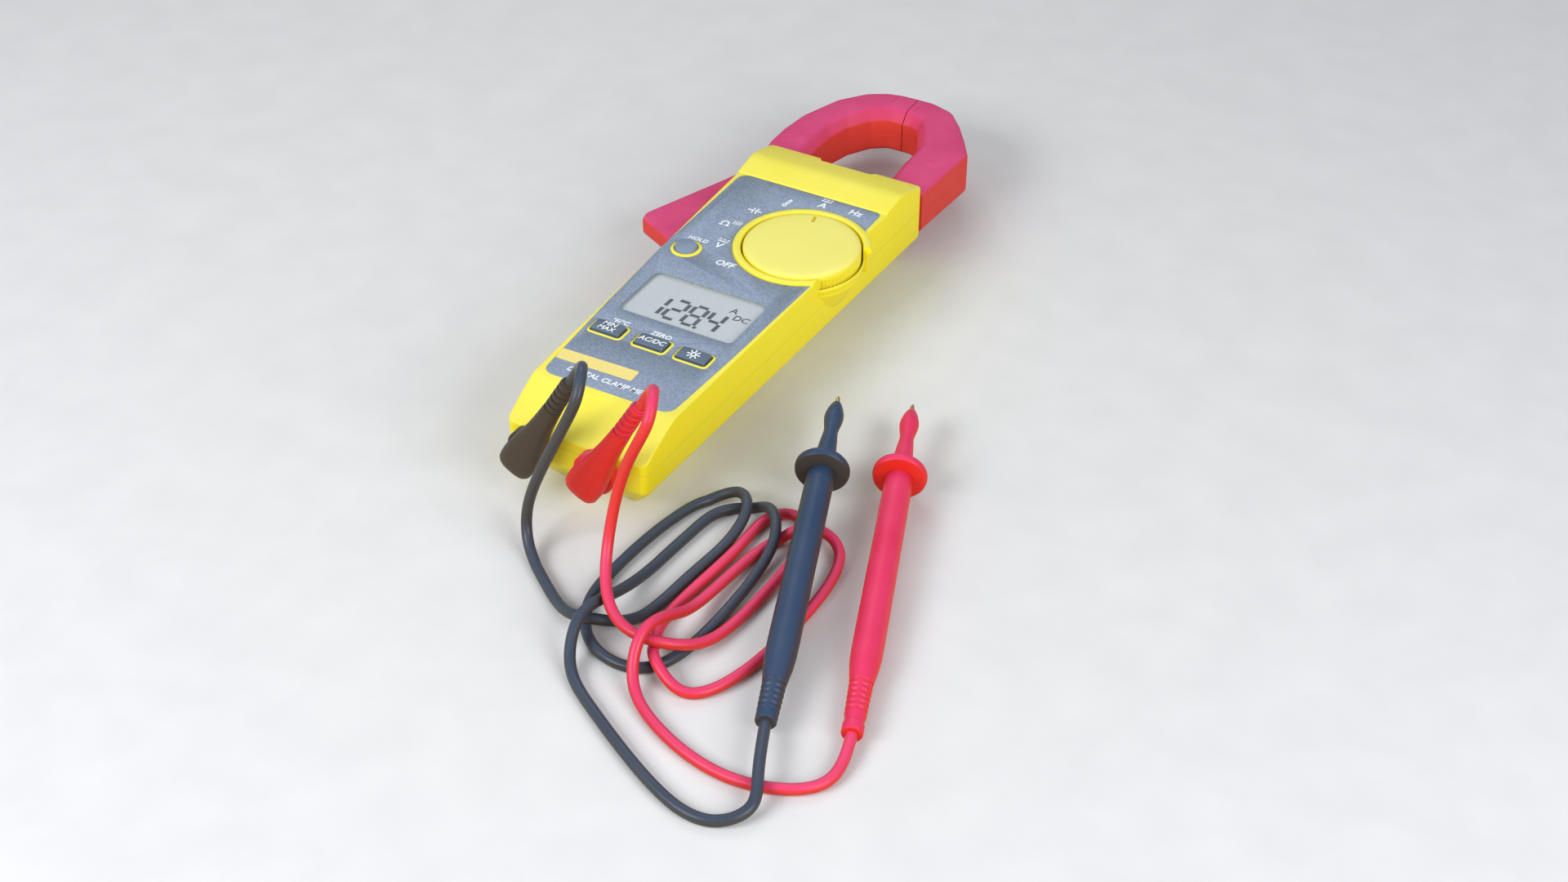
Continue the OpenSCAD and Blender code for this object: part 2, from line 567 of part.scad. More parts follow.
rear_case();
front_case();
front_label();
lcd_lens();
lcd_panel();
circuit_board();
input_jack_black();
input_jack_red();
battery_door();
battery_door_screw();
batteries();
battery_contacts();
buzzer();
keypad_membrane();
case_screws();
jaw_screws();
pivot_pin();
jaw_spring();
fixed_jaw_front();
fixed_jaw_back();
fixed_core();
hall_sensor();
moving_jaw_front();
moving_jaw_back();
moving_core();
rotary_knob();
contact_wiper();
knob_retainer();
hold_button();
key_left();
key_middle();
key_right();
plug_body_black();
plug_pin_black();
strain_relief_black();
lead_black();
probe_handle_black();
finger_guard_black();
tip_sleeve_black();
probe_tip_black();
plug_body_red();
plug_pin_red();
strain_relief_red();
lead_red();
probe_handle_red();
finger_guard_red();
tip_sleeve_red();
probe_tip_red();
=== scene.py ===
"""Clamp meter on its back with two test leads. Lengths are in millimetres until a mesh is made."""
import math

import bmesh
import bpy
import numpy as np
from mathutils import Matrix, Vector


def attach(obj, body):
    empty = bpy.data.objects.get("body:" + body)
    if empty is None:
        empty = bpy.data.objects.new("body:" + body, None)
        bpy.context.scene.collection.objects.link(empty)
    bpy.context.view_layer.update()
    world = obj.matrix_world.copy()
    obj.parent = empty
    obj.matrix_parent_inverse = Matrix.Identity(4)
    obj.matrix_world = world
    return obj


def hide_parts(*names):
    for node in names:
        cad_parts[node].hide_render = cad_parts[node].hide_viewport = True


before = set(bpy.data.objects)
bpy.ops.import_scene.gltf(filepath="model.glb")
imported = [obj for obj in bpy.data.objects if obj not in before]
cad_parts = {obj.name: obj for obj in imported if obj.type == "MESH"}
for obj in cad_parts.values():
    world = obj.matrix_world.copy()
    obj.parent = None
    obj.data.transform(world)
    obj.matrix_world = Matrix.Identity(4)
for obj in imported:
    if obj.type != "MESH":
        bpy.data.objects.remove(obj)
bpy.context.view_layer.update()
MM = 0.001

# ---- driving sizes: the CAD's own, and places read off its front face ----
CASE_Y = (-103.5, 50.7)
HALF_W = (22.0, 26.5)
CASE_TOP = 27.0
SPLIT_Z = 17.0
WALL = 2.2
DECK = 2.0
SEAM = 0.05
JAW_Z = (8.0, 22.3)
JAW_MID = 15.15
LEVER_Z = (13.0, 19.0)
PIVOT = (-14.0, 42.0)
KNOB = (12.0, 0.0)
KNOB_R = 17.5
KNOB_TOP = 28.4
KNOB_POINTS_AT = 103.5
DIAL_R = 24.4
LCD = (0.0, -42.0, 37.0, 21.4)
HOLD = (-17.6, -16.7)
KEY_X = (-15.0, -0.8, 12.6)
KEY_Y = -62.8
KEY = (9.3, 4.8)
KEY_TOP = 28.1
READING_Z = 26.12
TEXT_Z = CASE_TOP + 0.16
JACK_X = (-13.0, 8.0)
JACK_Z = 15.4
PLUG_Y = -110.0
PLUG_LEAN = math.radians(30)
ARM_LEN = 35.5
LEAD_D = 3.0
FLOOR_Z = LEAD_D / 2 + 0.1
DOOR = ((-13.0, -88.0), (13.0, -30.0))
CASE_SCREWS = ((-2.5, -95.5), (-6, 27.5), (14, 27.5))
PROBES = (((47.4, -43.4, 13.7), (87.2, -155.5, 4.8)), ((64.5, -31.2, 9.1), (106.1, -147.4, 2.9)))

BLACK_ROUTE = [
    (4.75, -110, 46), (7.5, -110.2, 50.8), (10.6, -112.6, 55), (13.6, -117.2, 56.8),
    (15.2, -121.6, 54), (13.8, -123.6, 48.5), (0, -123, 19), (-2, -124.5, 8), (2, -129, 2.6),
    (20, -142.3, 2.2), (28, -145.5, 4.8), (34, -143.5, 4.4), (39.5, -136, 1.9), (42.3, -118, FLOOR_Z),
    (44.4, -100, 2), (44, -89, 5), (38.6, -83.6, 4.7), (31.3, -87, FLOOR_Z), (26.5, -100, FLOOR_Z),
    (24, -124, FLOOR_Z), (25.5, -138, FLOOR_Z), (34, -149.5, FLOOR_Z), (46.5, -152.3, FLOOR_Z),
    (54.8, -144, FLOOR_Z), (57.4, -108, 2), (55.8, -94.5, 5.2), (49.5, -86, 5.1), (43, -84.8, 1.8),
    (37, -89, FLOOR_Z), (34, -100, FLOOR_Z), (32, -124, 2.4), (31.2, -140, 7.5), (30.5, -149, 8.2),
    (34, -159, 3), (47, -169, FLOOR_Z), (78, -185, FLOOR_Z), (91, -185.3, FLOOR_Z), (96.5, -179, 3),
    (94, -171, 4.8), PROBES[0][1],
]
RED_ROUTE = [
    (25.75, -110, 46), (28.5, -110.2, 51), (31.6, -112.6, 55.3), (34.4, -117.2, 57),
    (36, -121.6, 54.3), (34.6, -123.8, 49), (29.5, -125, 36), (28, -131, 18), (33, -140, 10.8),
    (40, -145.4, 8.2), (49, -147, 7.8), (55.8, -142.8, 5.4), (60.6, -132.5, 2.3), (63, -102, FLOOR_Z),
    (62.2, -89, FLOOR_Z), (58.7, -82.6, FLOOR_Z), (51.7, -82.4, FLOOR_Z), (48.2, -89.3, FLOOR_Z),
    (47.9, -100, FLOOR_Z), (45.6, -125, FLOOR_Z), (46.5, -138, 2.2), (49.6, -145, 3.8), (52.5, -149.4, 5),
    (62.5, -153.5, 2), (70.5, -145.5, FLOOR_Z), (75.5, -118, FLOOR_Z), (73.8, -92.5, 2.6),
    (68, -87.3, 4.2), (61, -88.2, 4.8), (56, -92.5, 2), (53.2, -99.5, FLOOR_Z), (51, -126, 3.8),
    (50.3, -137, 8.4), (48.8, -147.8, 11), (51, -157, 4), (62, -165.5, FLOOR_Z), (82, -172, FLOOR_Z),
    (98, -170, FLOOR_Z), (107.5, -162, FLOOR_Z), PROBES[1][1],
]


# ---- camera, light and floor ----
def make_camera():
    data = bpy.data.cameras.new("camera")
    data.lens = 50
    data.sensor_width = 36
    data.clip_start = 0.01
    camera = bpy.data.objects.new("camera", data)
    camera.location = (0.2685, -0.4732, 0.3756)
    camera.rotation_euler = (math.radians(51.99), 0, math.radians(29.02))
    bpy.context.scene.collection.objects.link(camera)
    bpy.context.scene.camera = camera


def area_light(name, place, target, size, power, color=(1, 1, 1)):
    data = bpy.data.lights.new(name, "AREA")
    data.shape = "RECTANGLE"
    data.size, data.size_y = size
    data.energy = power
    data.color = color
    light = bpy.data.objects.new(name, data)
    light.location = place
    light.rotation_euler = (Vector(target) - Vector(place)).to_track_quat("-Z", "Y").to_euler()
    bpy.context.scene.collection.objects.link(light)


def make_studio():
    world = bpy.data.worlds.new("studio")
    world.use_nodes = True
    background = world.node_tree.nodes["Background"]
    background.inputs["Color"].default_value = (0.92, 0.95, 1, 1)
    background.inputs["Strength"].default_value = 0.36
    bpy.context.scene.world = world
    bpy.context.scene.view_settings.view_transform = "Standard"
    centre = (0.02, -0.04, 0.01)
    area_light("key", (-0.35, 0.45, 0.75), centre, (0.6, 0.45), 1.6, (1, 0.98, 0.95))
    area_light("fill", (0.75, -0.35, 0.45), centre, (0.5, 0.5), 5.6)
    area_light("front", (-0.3, -0.7, 0.5), centre, (0.5, 0.35), 5.6)
    floor = bpy.data.meshes.new("floor")
    side = 3.0
    floor.from_pydata([(-side, -side, 0), (side, -side, 0), (side, side, 0), (-side, side, 0)], [],
                      [(0, 1, 2, 3)])
    stage = bpy.data.objects.new("floor", floor)
    bpy.context.scene.collection.objects.link(stage)
    stage.data.materials.append(plastic("floor_paper", (0.66, 0.67, 0.68), (0.69, 0.70, 0.71), rough=0.7,
                                        grain=0.02))


# ---- materials ----
class Nodes:
    """A short way to write a material's node tree."""

    def __init__(self, name):
        self.material = bpy.data.materials.new(name)
        self.material.use_nodes = True
        self.tree = self.material.node_tree
        self.shader = self.tree.nodes["Principled BSDF"]

    def add(self, kind, **values):
        node = self.tree.nodes.new("ShaderNode" + kind)
        for key, value in values.items():
            if hasattr(node, key):
                setattr(node, key, value)
            else:
                node.inputs[key].default_value = value
        return node

    def link(self, source, target):
        self.tree.links.new(source, target)

    def noise(self, scale, detail=3.0, rough=0.5):
        place = self.add("TexCoord")
        noise = self.add("TexNoise")
        noise.inputs["Scale"].default_value = scale
        noise.inputs["Detail"].default_value = detail
        noise.inputs["Roughness"].default_value = rough
        self.link(place.outputs["Object"], noise.inputs["Vector"])
        return noise.outputs["Fac"]

    def ramp(self, source, stops):
        ramp = self.add("ValToRGB")
        while len(ramp.color_ramp.elements) < len(stops):
            ramp.color_ramp.elements.new(0.5)
        for element, (at, color) in zip(ramp.color_ramp.elements, stops):
            element.position = at
            element.color = (*color, 1) if len(color) == 3 else color
        self.link(source, ramp.inputs["Fac"])
        return ramp.outputs["Color"]

    def bump(self, height, strength, distance=0.0002):
        bump = self.add("Bump")
        bump.inputs["Strength"].default_value = strength
        bump.inputs["Distance"].default_value = distance
        self.link(height, bump.inputs["Height"])
        self.link(bump.outputs["Normal"], self.shader.inputs["Normal"])


def color_mix(nodes, factor, a, b):
    mix = nodes.add("MixRGB")
    for index, value in enumerate((factor, a, b)):
        if isinstance(value, bpy.types.NodeSocket):
            nodes.link(value, mix.inputs[index])
        elif isinstance(value, (int, float)):
            mix.inputs[index].default_value = value
        else:
            mix.inputs[index].default_value = (*value, 1)
    return mix.outputs["Color"]


def plastic(name, base, pale, rough=0.45, grain=0.15, side=None, mottle=60, shine=0.35, edge=None,
            grain_scale=2600):
    """Moulded plastic or rubber: mottled, with painted shade on upright and downward faces (the side
    colour, a warm tint standing in for bounce light from below), paler convex edges, fine grain.
    """
    n = Nodes(name)
    patches = n.ramp(n.noise(mottle, 4), [(0.35, (0, 0, 0)), (0.7, (1, 1, 1))])
    color = color_mix(n, patches, base, pale)
    # painted light: faces that stand upright or face down take the side colour, a warm tint standing in
    # for bounce light from below, while up-facing faces keep the lit top colour
    if side:
        geometry = n.add("NewGeometry")
        split = n.add("SeparateXYZ")
        n.link(geometry.outputs["Normal"], split.inputs[0])
        painted_side_shade = n.ramp(split.outputs["Z"], [(0.25, (1, 1, 1)), (0.85, (0, 0, 0))])
        color = color_mix(n, painted_side_shade, color, side)
    # convex edges (high pointiness) are mixed towards the paler edge colour
    if edge:
        geometry = n.add("NewGeometry")
        convex_edge_mask = n.ramp(geometry.outputs["Pointiness"], [(0.52, (0, 0, 0)), (0.62, (1, 1, 1))])
        color = color_mix(n, convex_edge_mask, color, edge)
    n.link(color, n.shader.inputs["Base Color"])
    sheen = n.ramp(n.noise(mottle * 3, 2), [(0.3, (rough - 0.06,) * 3), (0.7, (rough + 0.06,) * 3)])
    n.link(sheen, n.shader.inputs["Roughness"])
    n.shader.inputs["Specular IOR Level"].default_value = shine
    n.bump(n.noise(grain_scale, 2), grain)
    return n.material


def metal(name, base, dark, rough=0.3, streak=900):
    n = Nodes(name)
    tarnish = n.ramp(n.noise(streak, 5, 0.6), [(0.3, dark), (0.6, base)])
    n.link(tarnish, n.shader.inputs["Base Color"])
    n.shader.inputs["Metallic"].default_value = 1.0
    worn = n.ramp(n.noise(streak * 2, 3), [(0.3, (rough - 0.08,) * 3), (0.7, (rough + 0.1,) * 3)])
    n.link(worn, n.shader.inputs["Roughness"])
    n.bump(n.noise(streak * 4, 2), 0.08)
    return n.material


def printed_film(name, base, speck, rough=0.6):
    """Printed label film: fine dark and light speckle over a slow drift of tone."""
    n = Nodes(name)
    dots = n.ramp(n.noise(1900, 2), [(0.40, base), (0.60, speck)])
    drift = n.ramp(n.noise(35, 2), [(0.3, tuple(c * 0.97 for c in base)),
                                    (0.7, tuple(c * 1.03 for c in base))])
    n.link(color_mix(n, 0.3, dots, drift), n.shader.inputs["Base Color"])
    n.shader.inputs["Roughness"].default_value = rough
    n.shader.inputs["Specular IOR Level"].default_value = 0.25
    n.bump(n.noise(2400, 2), 0.1)
    return n.material


def ink(name, color, rough=0.5):
    n = Nodes(name)
    worn = n.ramp(n.noise(1500, 3), [(0.25, tuple(c * 0.85 for c in color)), (0.6, color)])
    n.link(worn, n.shader.inputs["Base Color"])
    n.shader.inputs["Roughness"].default_value = rough
    return n.material


def clear_window(name):
    n = Nodes(name)
    n.shader.inputs["Base Color"].default_value = (0.75, 0.8, 0.8, 1)
    n.shader.inputs["Roughness"].default_value = 0.2
    smudge = n.ramp(n.noise(120, 3), [(0.3, (0.03, 0.03, 0.03)), (0.7, (0.06, 0.06, 0.06))])
    n.link(smudge, n.shader.inputs["Alpha"])
    return n.material


def make_materials():
    # every side= colour below is painted shade: the warm tint that upright and downward faces show under
    # bounce light from below, not a second colour of the plastic
    return {
        "yellow": plastic("yellow", (0.82, 0.74, 0.075), (0.85, 0.78, 0.11), rough=0.42,
                          side=(0.84, 0.70, 0.012), shine=0.2),
        "knob_yellow": plastic("knob_yellow", (0.82, 0.76, 0.17), (0.85, 0.79, 0.21), rough=0.42,
                               side=(0.84, 0.72, 0.03), shine=0.2),
        "label": printed_film("label", (0.20, 0.255, 0.345), (0.30, 0.365, 0.475)),
        "cream": printed_film("cream", (0.80, 0.66, 0.20), (0.84, 0.72, 0.27)),
        "white_ink": ink("white_ink", (0.86, 0.9, 0.95)),
        "dark_ink": ink("dark_ink", (0.02, 0.035, 0.05)),
        "lcd": printed_film("lcd", (0.46, 0.51, 0.55), (0.50, 0.55, 0.59), rough=0.3),
        "lens": clear_window("lens"),
        "jaw": plastic("jaw", (0.60, 0.055, 0.175), (0.66, 0.08, 0.21), rough=0.45,
                       side=(0.62, 0.05, 0.035), shine=0.12),
        "key": plastic("key", (0.05, 0.085, 0.135), (0.065, 0.105, 0.16), rough=0.5, grain=0.2,
                       edge=(0.25, 0.3, 0.36), shine=0.2),
        "hold": plastic("hold", (0.19, 0.245, 0.34), (0.23, 0.29, 0.39), rough=0.45, shine=0.2),
        "black": plastic("black", (0.028, 0.055, 0.115), (0.04, 0.068, 0.13), rough=0.38,
                         side=(0.05, 0.042, 0.035), shine=0.2),
        "brown_black": plastic("brown_black", (0.05, 0.045, 0.042), (0.065, 0.055, 0.05), rough=0.42,
                               side=(0.055, 0.038, 0.022), shine=0.2),
        "red": plastic("red", (0.66, 0.03, 0.10), (0.72, 0.045, 0.14), rough=0.38,
                       side=(0.66, 0.022, 0.012), shine=0.2),
        "black_cable": plastic("black_cable", (0.04, 0.055, 0.085), (0.055, 0.072, 0.105), rough=0.36,
                               grain=0.1, mottle=25, side=(0.05, 0.045, 0.04), shine=0.25),
        "red_cable": plastic("red_cable", (0.66, 0.04, 0.12), (0.72, 0.06, 0.16), rough=0.36, grain=0.1,
                             mottle=25, side=(0.62, 0.03, 0.02), shine=0.25),
        "brass": metal("brass", (0.75, 0.58, 0.30), (0.45, 0.33, 0.16)),
        "steel": metal("steel", (0.62, 0.62, 0.63), (0.38, 0.38, 0.40)),
        "iron": metal("iron", (0.25, 0.25, 0.27), (0.12, 0.12, 0.14), rough=0.5),
        "board": plastic("board", (0.02, 0.16, 0.07), (0.03, 0.2, 0.09), rough=0.3),
        "grey_pad": plastic("grey_pad", (0.3, 0.31, 0.33), (0.34, 0.35, 0.37), rough=0.6),
        "cell": plastic("cell", (0.06, 0.07, 0.09), (0.1, 0.11, 0.13), rough=0.3),
    }


# ---- mesh building ----
def new_object(name, verts, faces):
    data = bpy.data.meshes.new(name)
    data.from_pydata([Vector(v) * MM for v in verts], [], faces)
    shape = bmesh.new()
    shape.from_mesh(data)
    bmesh.ops.remove_doubles(shape, verts=shape.verts, dist=1e-7)
    bmesh.ops.recalc_face_normals(shape, faces=shape.faces)
    shape.to_mesh(data)
    shape.free()
    piece = bpy.data.objects.new(name, data)
    bpy.context.scene.collection.objects.link(piece)
    return piece


def loft(name, rows, strip=False):
    """A closed solid through rows of points; strip closes a bent strip with quads across it."""
    n = len(rows[0])
    verts = [p for row in rows for p in row]
    faces = []
    for j in range(len(rows) - 1):
        for i in range(n):
            k = (i + 1) % n
            faces.append((j * n + i, j * n + k, (j + 1) * n + k, (j + 1) * n + i))
    for base in (0, (len(rows) - 1) * n):
        if strip:
            faces += [(base + i, base + i + 1, base + n - 2 - i,
                       base + n - 1 - i) for i in range(n // 2 - 1)]
        else:
            faces.append(tuple(base + i for i in range(n)))
    return new_object(name, verts, faces)


def prism(name, outline, z0, z1):
    return loft(name, [[(x, y, z) for x, y in outline] for z in (z0, z1)])


def box(name, x0, x1, y0, y1, z0, z1):
    return prism(name, [(x0, y0), (x1, y0), (x1, y1), (x0, y1)], z0, z1)


def circle(c, r, n=96):
    angles = [math.tau * i / n for i in range(n)]
    return [(c[0] + r * math.cos(a), c[1] + r * math.sin(a)) for a in angles]


def arc(cx, cy, rx, ry, start, sweep, steps):
    """Points along an arc of an ellipse; angles in degrees."""
    angles = [math.radians(start + sweep * k / steps) for k in range(steps + 1)]
    return [(cx + rx * math.cos(a), cy + ry * math.sin(a)) for a in angles]


def lathe(name, profile, n=96, place=Matrix.Identity(4), ripple=None):
    """A solid of revolution about +Z: profile is (radius, z) from one end of the axis to the other."""
    verts, faces = [], []
    for r, z in profile:
        for i in range(n):
            a = math.tau * i / n
            grown = r + (ripple(r, z, a) if ripple else 0)
            verts.append(place @ Vector((grown * math.cos(a), grown * math.sin(a), z)))
    for j in range(len(profile) - 1):
        for i in range(n):
            k = (i + 1) % n
            faces.append((j * n + i, j * n + k, (j + 1) * n + k, (j + 1) * n + i))
    if profile[0] != profile[-1]:
        faces.append(tuple(range(n)))
        faces.append(tuple((len(profile) - 1) * n + i for i in range(n)))
    else:
        verts = verts[: (len(profile) - 1) * n]
        count = len(profile) - 1
        faces = [tuple(v % (count * n) for v in f) for f in faces]
    return new_object(name, verts, faces)


def rounded(points, radius, steps=5, closed=True):
    """An outline with its corners rounded; radius is one number or one for each point."""
    out = []
    n = len(points)
    for i, here in enumerate(points):
        r = radius[i] if isinstance(radius, (list, tuple)) else radius
        here = Vector(here)
        if r <= 0 or (not closed and i in (0, n - 1)):
            out.append(tuple(here))
            continue
        before, after = Vector(points[i - 1]) - here, Vector(points[(i + 1) % n]) - here
        angle = before.angle(after)
        cut = min(r / math.tan(angle / 2), before.length * 0.49, after.length * 0.49)
        a, b = here + before.normalized() * cut, here + after.normalized() * cut
        for k in range(steps + 1):
            t = k / steps
            out.append(tuple(a * (1 - t) ** 2 + here * 2 * t * (1 - t) + b * t * t))
    return out


def resampled(points, count):
    pts = np.array(points, float)
    s = np.r_[0, np.cumsum(np.linalg.norm(np.diff(pts, axis=0), axis=1))]
    want = np.linspace(0, s[-1], count)
    return np.stack([np.interp(want, s, pts[:, k]) for k in range(pts.shape[1])], 1)


def settle(piece):
    """Applies a piece's modifiers to its mesh."""
    bpy.context.view_layer.update()
    data = bpy.data.meshes.new_from_object(piece.evaluated_get(bpy.context.evaluated_depsgraph_get()))
    piece.modifiers.clear()
    old = piece.data
    piece.data = data
    data.name = piece.name
    bpy.data.meshes.remove(old)


def combine(piece, others, operation="DIFFERENCE"):
    for other in others:
        modifier = piece.modifiers.new("cut", "BOOLEAN")
        modifier.operation = operation
        modifier.solver = "EXACT"
        modifier.object = other
    settle(piece)
    for other in others:
        data = other.data
        bpy.data.objects.remove(other)
        bpy.data.meshes.remove(data)


def bevel(piece, width, segments=3, angle=40, keep=None):
    """Rounds the sharp edges; keep(midpoint in mm) says which of them."""
    shape = bmesh.new()
    shape.from_mesh(piece.data)
    bmesh.ops.dissolve_limit(shape, angle_limit=math.radians(0.4), verts=shape.verts, edges=shape.edges)
    edges = []
    for edge in shape.edges:
        if len(edge.link_faces) == 2 and edge.calc_face_angle(0) > math.radians(angle):
            middle = (edge.verts[0].co + edge.verts[1].co) / 2 / MM
            if keep is None or keep(middle):
                edges.append(edge)
    bmesh.ops.bevel(shape, geom=edges, offset=width * MM, segments=segments, affect="EDGES", profile=0.5,
                    clamp_overlap=True)
    shape.to_mesh(piece.data)
    shape.free()


def dress(piece, material, body="root", nodes=(), angle=32):
    """Shades, paints and attaches a finished piece."""
    piece.data.materials.clear()
    piece.data.materials.append(material)
    piece.data.polygons.foreach_set("use_smooth", [True] * len(piece.data.polygons))
    piece.data.set_sharp_from_angle(angle=math.radians(angle))
    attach(piece, body)
    if nodes:
        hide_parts(*nodes)
    return piece


# ---- case ----
def half_w(y):
    return HALF_W[0] + (HALF_W[1] - HALF_W[0]) * (y - CASE_Y[0]) / (CASE_Y[1] - CASE_Y[0])


def case_plan(inset, steps=9):
    """Plan outline of the case, moved in by a distance."""
    r0, r1 = max(2.2 - inset, 0.6), max(1.8 - inset, 0.6)
    e0, e1 = r0 + inset, r1 + inset
    corners = [
        (HALF_W[1] - e1, CASE_Y[1] - e1, 0, r1), (e1 - HALF_W[1], CASE_Y[1] - e1, 90, r1),
        (e0 - HALF_W[0], CASE_Y[0] + e0, 180, r0), (HALF_W[0] - e0, CASE_Y[0] + e0, 270, r0),
    ]
    out = []
    for x, y, start, r in corners:
        for k in range(steps + 1):
            a = math.radians(start + 90 * k / steps)
            out.append((x + r * math.cos(a), y + r * math.sin(a)))
    return out


def chamfer_line(y):
    """Height where the upright wall turns into the chamfer of the back."""
    return 10.3 - 3.0 * (y - CASE_Y[0]) / (CASE_Y[1] - CASE_Y[0])


def mouths():
    """Cutters for the jaws' mouths, the lever's slot and the jacks."""
    z0, z1 = JAW_Z
    cutters = [
        box("m", -30, -6.1, 41, 52, z0 - 0.4, z1 + 0.5),
        box("m", 9.5, 24.6, 44, 52, z0 - 0.2, z1 + 0.2),
        box("m", -30, -20, -10.2, 52, LEVER_Z[0] - 0.4, LEVER_Z[1] + 0.3),
    ]
    for x in JACK_X:
        place = Matrix.Translation((x, CASE_Y[0] - 3, JACK_Z)) @ Matrix.Rotation(math.radians(-90), 4, "X")
        cutters.append(lathe("m", [(4.0, 0), (4.0, 12)], 48, place))
    return cutters


def make_front_case(mats):
    shell = prism("front_shell", case_plan(0), SPLIT_Z + SEAM, 34)
    profile = [
        (-108, 10.0), (-108, 17.2), (-103.5, 20.0), (-99.5, 22.2), (-94, 24.9), (-90.5, 26.45),
               (-88.9, 26.93), (-87.4, 27), (28.0, 27), (28.3, 27.35),
        (29.0, 27.5), (34.8, 28.3), (36.6, 28.5), (38.4, 28.4), (40.4, 28.0), (54, 24.1), (54, 10.0),
    ]

    def along_x(drop):
        return loft("m", [[(x, y, z - drop) for y, z in profile] for x in (-40, 40)])

    combine(shell, [along_x(0)], "INTERSECT")

    def on_rim(p):
        return p.z > 19.2 and (abs(p.x) > half_w(p.y) - 4.6 or p.y < -102 or p.y > 49)

    bevel(shell, 1.1, 5, 25, keep=on_rim)
    cavity = prism("m", case_plan(WALL), 12, CASE_TOP - DECK)
    combine(cavity, [along_x(DECK)], "INTERSECT")
    cutters = [cavity]
    cutters.append(prism("m", circle(KNOB, KNOB_R + 0.55, 128), 20.6, 40))
    x, y, w, d = LCD
    cutters.append(box("m", x - w / 2 - 0.7, x + w / 2 + 0.7, y - d / 2 - 0.7, y + d / 2 + 0.7, 20, 30))
    cutters += [prism("m", key_outline(cx, 0.35), 20, 30) for cx in KEY_X]
    cutters.append(prism("m", circle(HOLD, 3.75, 64), 20, 30))
    cutters.append(prism("m", rounded([(-9.6, 52), (-7.6, 48.2), (9.6, 48.2), (11.8, 52)],
                                      [0, 1.2, 1.2, 0]), 10, 40))
    combine(shell, cutters + mouths())
    return dress(shell, mats["yellow"], nodes=["front_case"], angle=30)


def make_knob_ring(mats):
    """Raised ring round the knob, and its cup, low outside the right wall so that a thumb gets in."""
    place = Matrix.Translation((*KNOB, 0))
    r0, r1 = KNOB_R + 0.5, KNOB_R + 3.0
    profile = [(r0, 19.4), (r0 + 1.2, 19.4), (r0 + 1.2, 25.6), (r1 - 0.4, 26.0), (r1, 26.5), (r1, 27.2),
               (r1 - 0.25, 27.6),
               (r1 - 0.8, 27.85), (r0 + 0.7, 27.85), (r0 + 0.2, 27.65), (r0, 27.3), (r0, 19.4)]
    ring = lathe("knob_ring", profile, 144, place)
    side = prism("m", case_plan(0.05), 5, 40)
    combine(side, [prism("m", rounded([(20, 5.5), (33, 8.5), (33, 17), (20, 17)], 1, 3), 6, 39)], "UNION")
    combine(ring, [side], "INTERSECT")
    bevel(ring, 0.5, 4, 50)
    dress(ring, mats["yellow"])
    shelf = [(4.1, 19.6), (11.5, 10.5), (13.5, 12.5), (15.6, 16.5), (17.3, 20), (18.4, 22.3), (18.6, 23),
             (18.5, 23.5), (18.2, 23.7), (r0, 23.6), (r0, 20.6), (4.1, 20.6), (4.1, 19.6)]
    shelf = lathe("knob_shelf", shelf, 144, place)
    combine(shelf, [box("m", -30, 22.8, -30, 30, 5, 20.4)])
    dress(shelf, mats["yellow"], angle=45)


def make_rear_case(mats):
    def level(inset, z):
        return [(x, y, z(y) if callable(z) else z) for x, y in case_plan(inset)]

    shell = loft("rear_shell", [level(9, 0), level(8.2, 0.15), level(0.9, lambda y: chamfer_line(y) - 0.8),
                                level(0.25, chamfer_line), level(0, lambda y: chamfer_line(y) + 1.1),
                                level(0, SPLIT_Z - SEAM)])
    hollow = loft("m", [level(10.6, 2.5), level(WALL, 10), level(WALL, 20)])
    door = box("m", DOOR[0][0] - 0.3, DOOR[1][0] + 0.3, DOOR[0][1] - 0.3, DOOR[1][1] + 0.3, -1, 3.1)
    screws = [lathe("m", [(2.8, -1), (2.8, 2), (1.6, 2), (1.6, 9)], 48, Matrix.Translation((x, y, 0)))
              for x, y in CASE_SCREWS]
    notch = box("m", -7.6, 9.6, 48.2, 52, 9, 20)
    combine(shell, [hollow, door, notch] + screws + mouths())
    dress(shell, mats["yellow"], nodes=["rear_case"], angle=30)
    wall = box("throat_wall", -6.0, 9.9, 46.3, 48.25, 3, 24.9)
    dress(wall, mats["yellow"])


def key_outline(cx, grow):
    w, d = KEY[0] / 2 + grow, KEY[1] / 2 + grow
    return rounded([(cx - w, KEY_Y - d), (cx + w, KEY_Y - d), (cx + w, KEY_Y + d), (cx - w, KEY_Y + d)],
                   0.7 + grow, 4)


LABEL = [(24.3, 27.6), (-24.0, 27.6), (-24.2, -19.6), (-22.6, -52.7), (-21.1, -75.0), (-20.2, -88.0),
         (20.2, -87.8), (22.0, -59.7), (23.8, -17.4)]


def make_label(mats):
    corner = [2.2, 3.5, 1, 1, 1, 3.8, 3.8, 1, 1]
    label = prism("label_film", rounded(LABEL, corner, 6), CASE_TOP - 0.3, CASE_TOP + 0.12)
    x, y, w, d = LCD
    holes = [prism("m", circle(KNOB, KNOB_R + 2.9, 128), 20, 30)]
    window = rounded([(x - w / 2, y - d / 2), (x + w / 2, y - d / 2), (x + w / 2, y + d / 2),
                      (x - w / 2, y + d / 2)], 2.2, 6)
    holes.append(prism("m", window, 20, 30))
    holes += [prism("m", key_outline(cx, 1.0), 20, 30) for cx in KEY_X]
    holes.append(prism("m", circle(HOLD, 4.5, 64), 20, 30))
    combine(label, holes)
    bevel(label, 0.06, 1, 60)
    dress(label, mats["label"], nodes=["front_label"], angle=50)
    strip = prism("blank_strip", rounded([(-20.5, -81.0), (-20.95, -76.5), (3.3, -75.8), (3.4, -80.4)],
                                         [0.2, 0.2, 0.5, 0.5], 3), CASE_TOP, CASE_TOP + 0.2)
    dress(strip, mats["cream"])


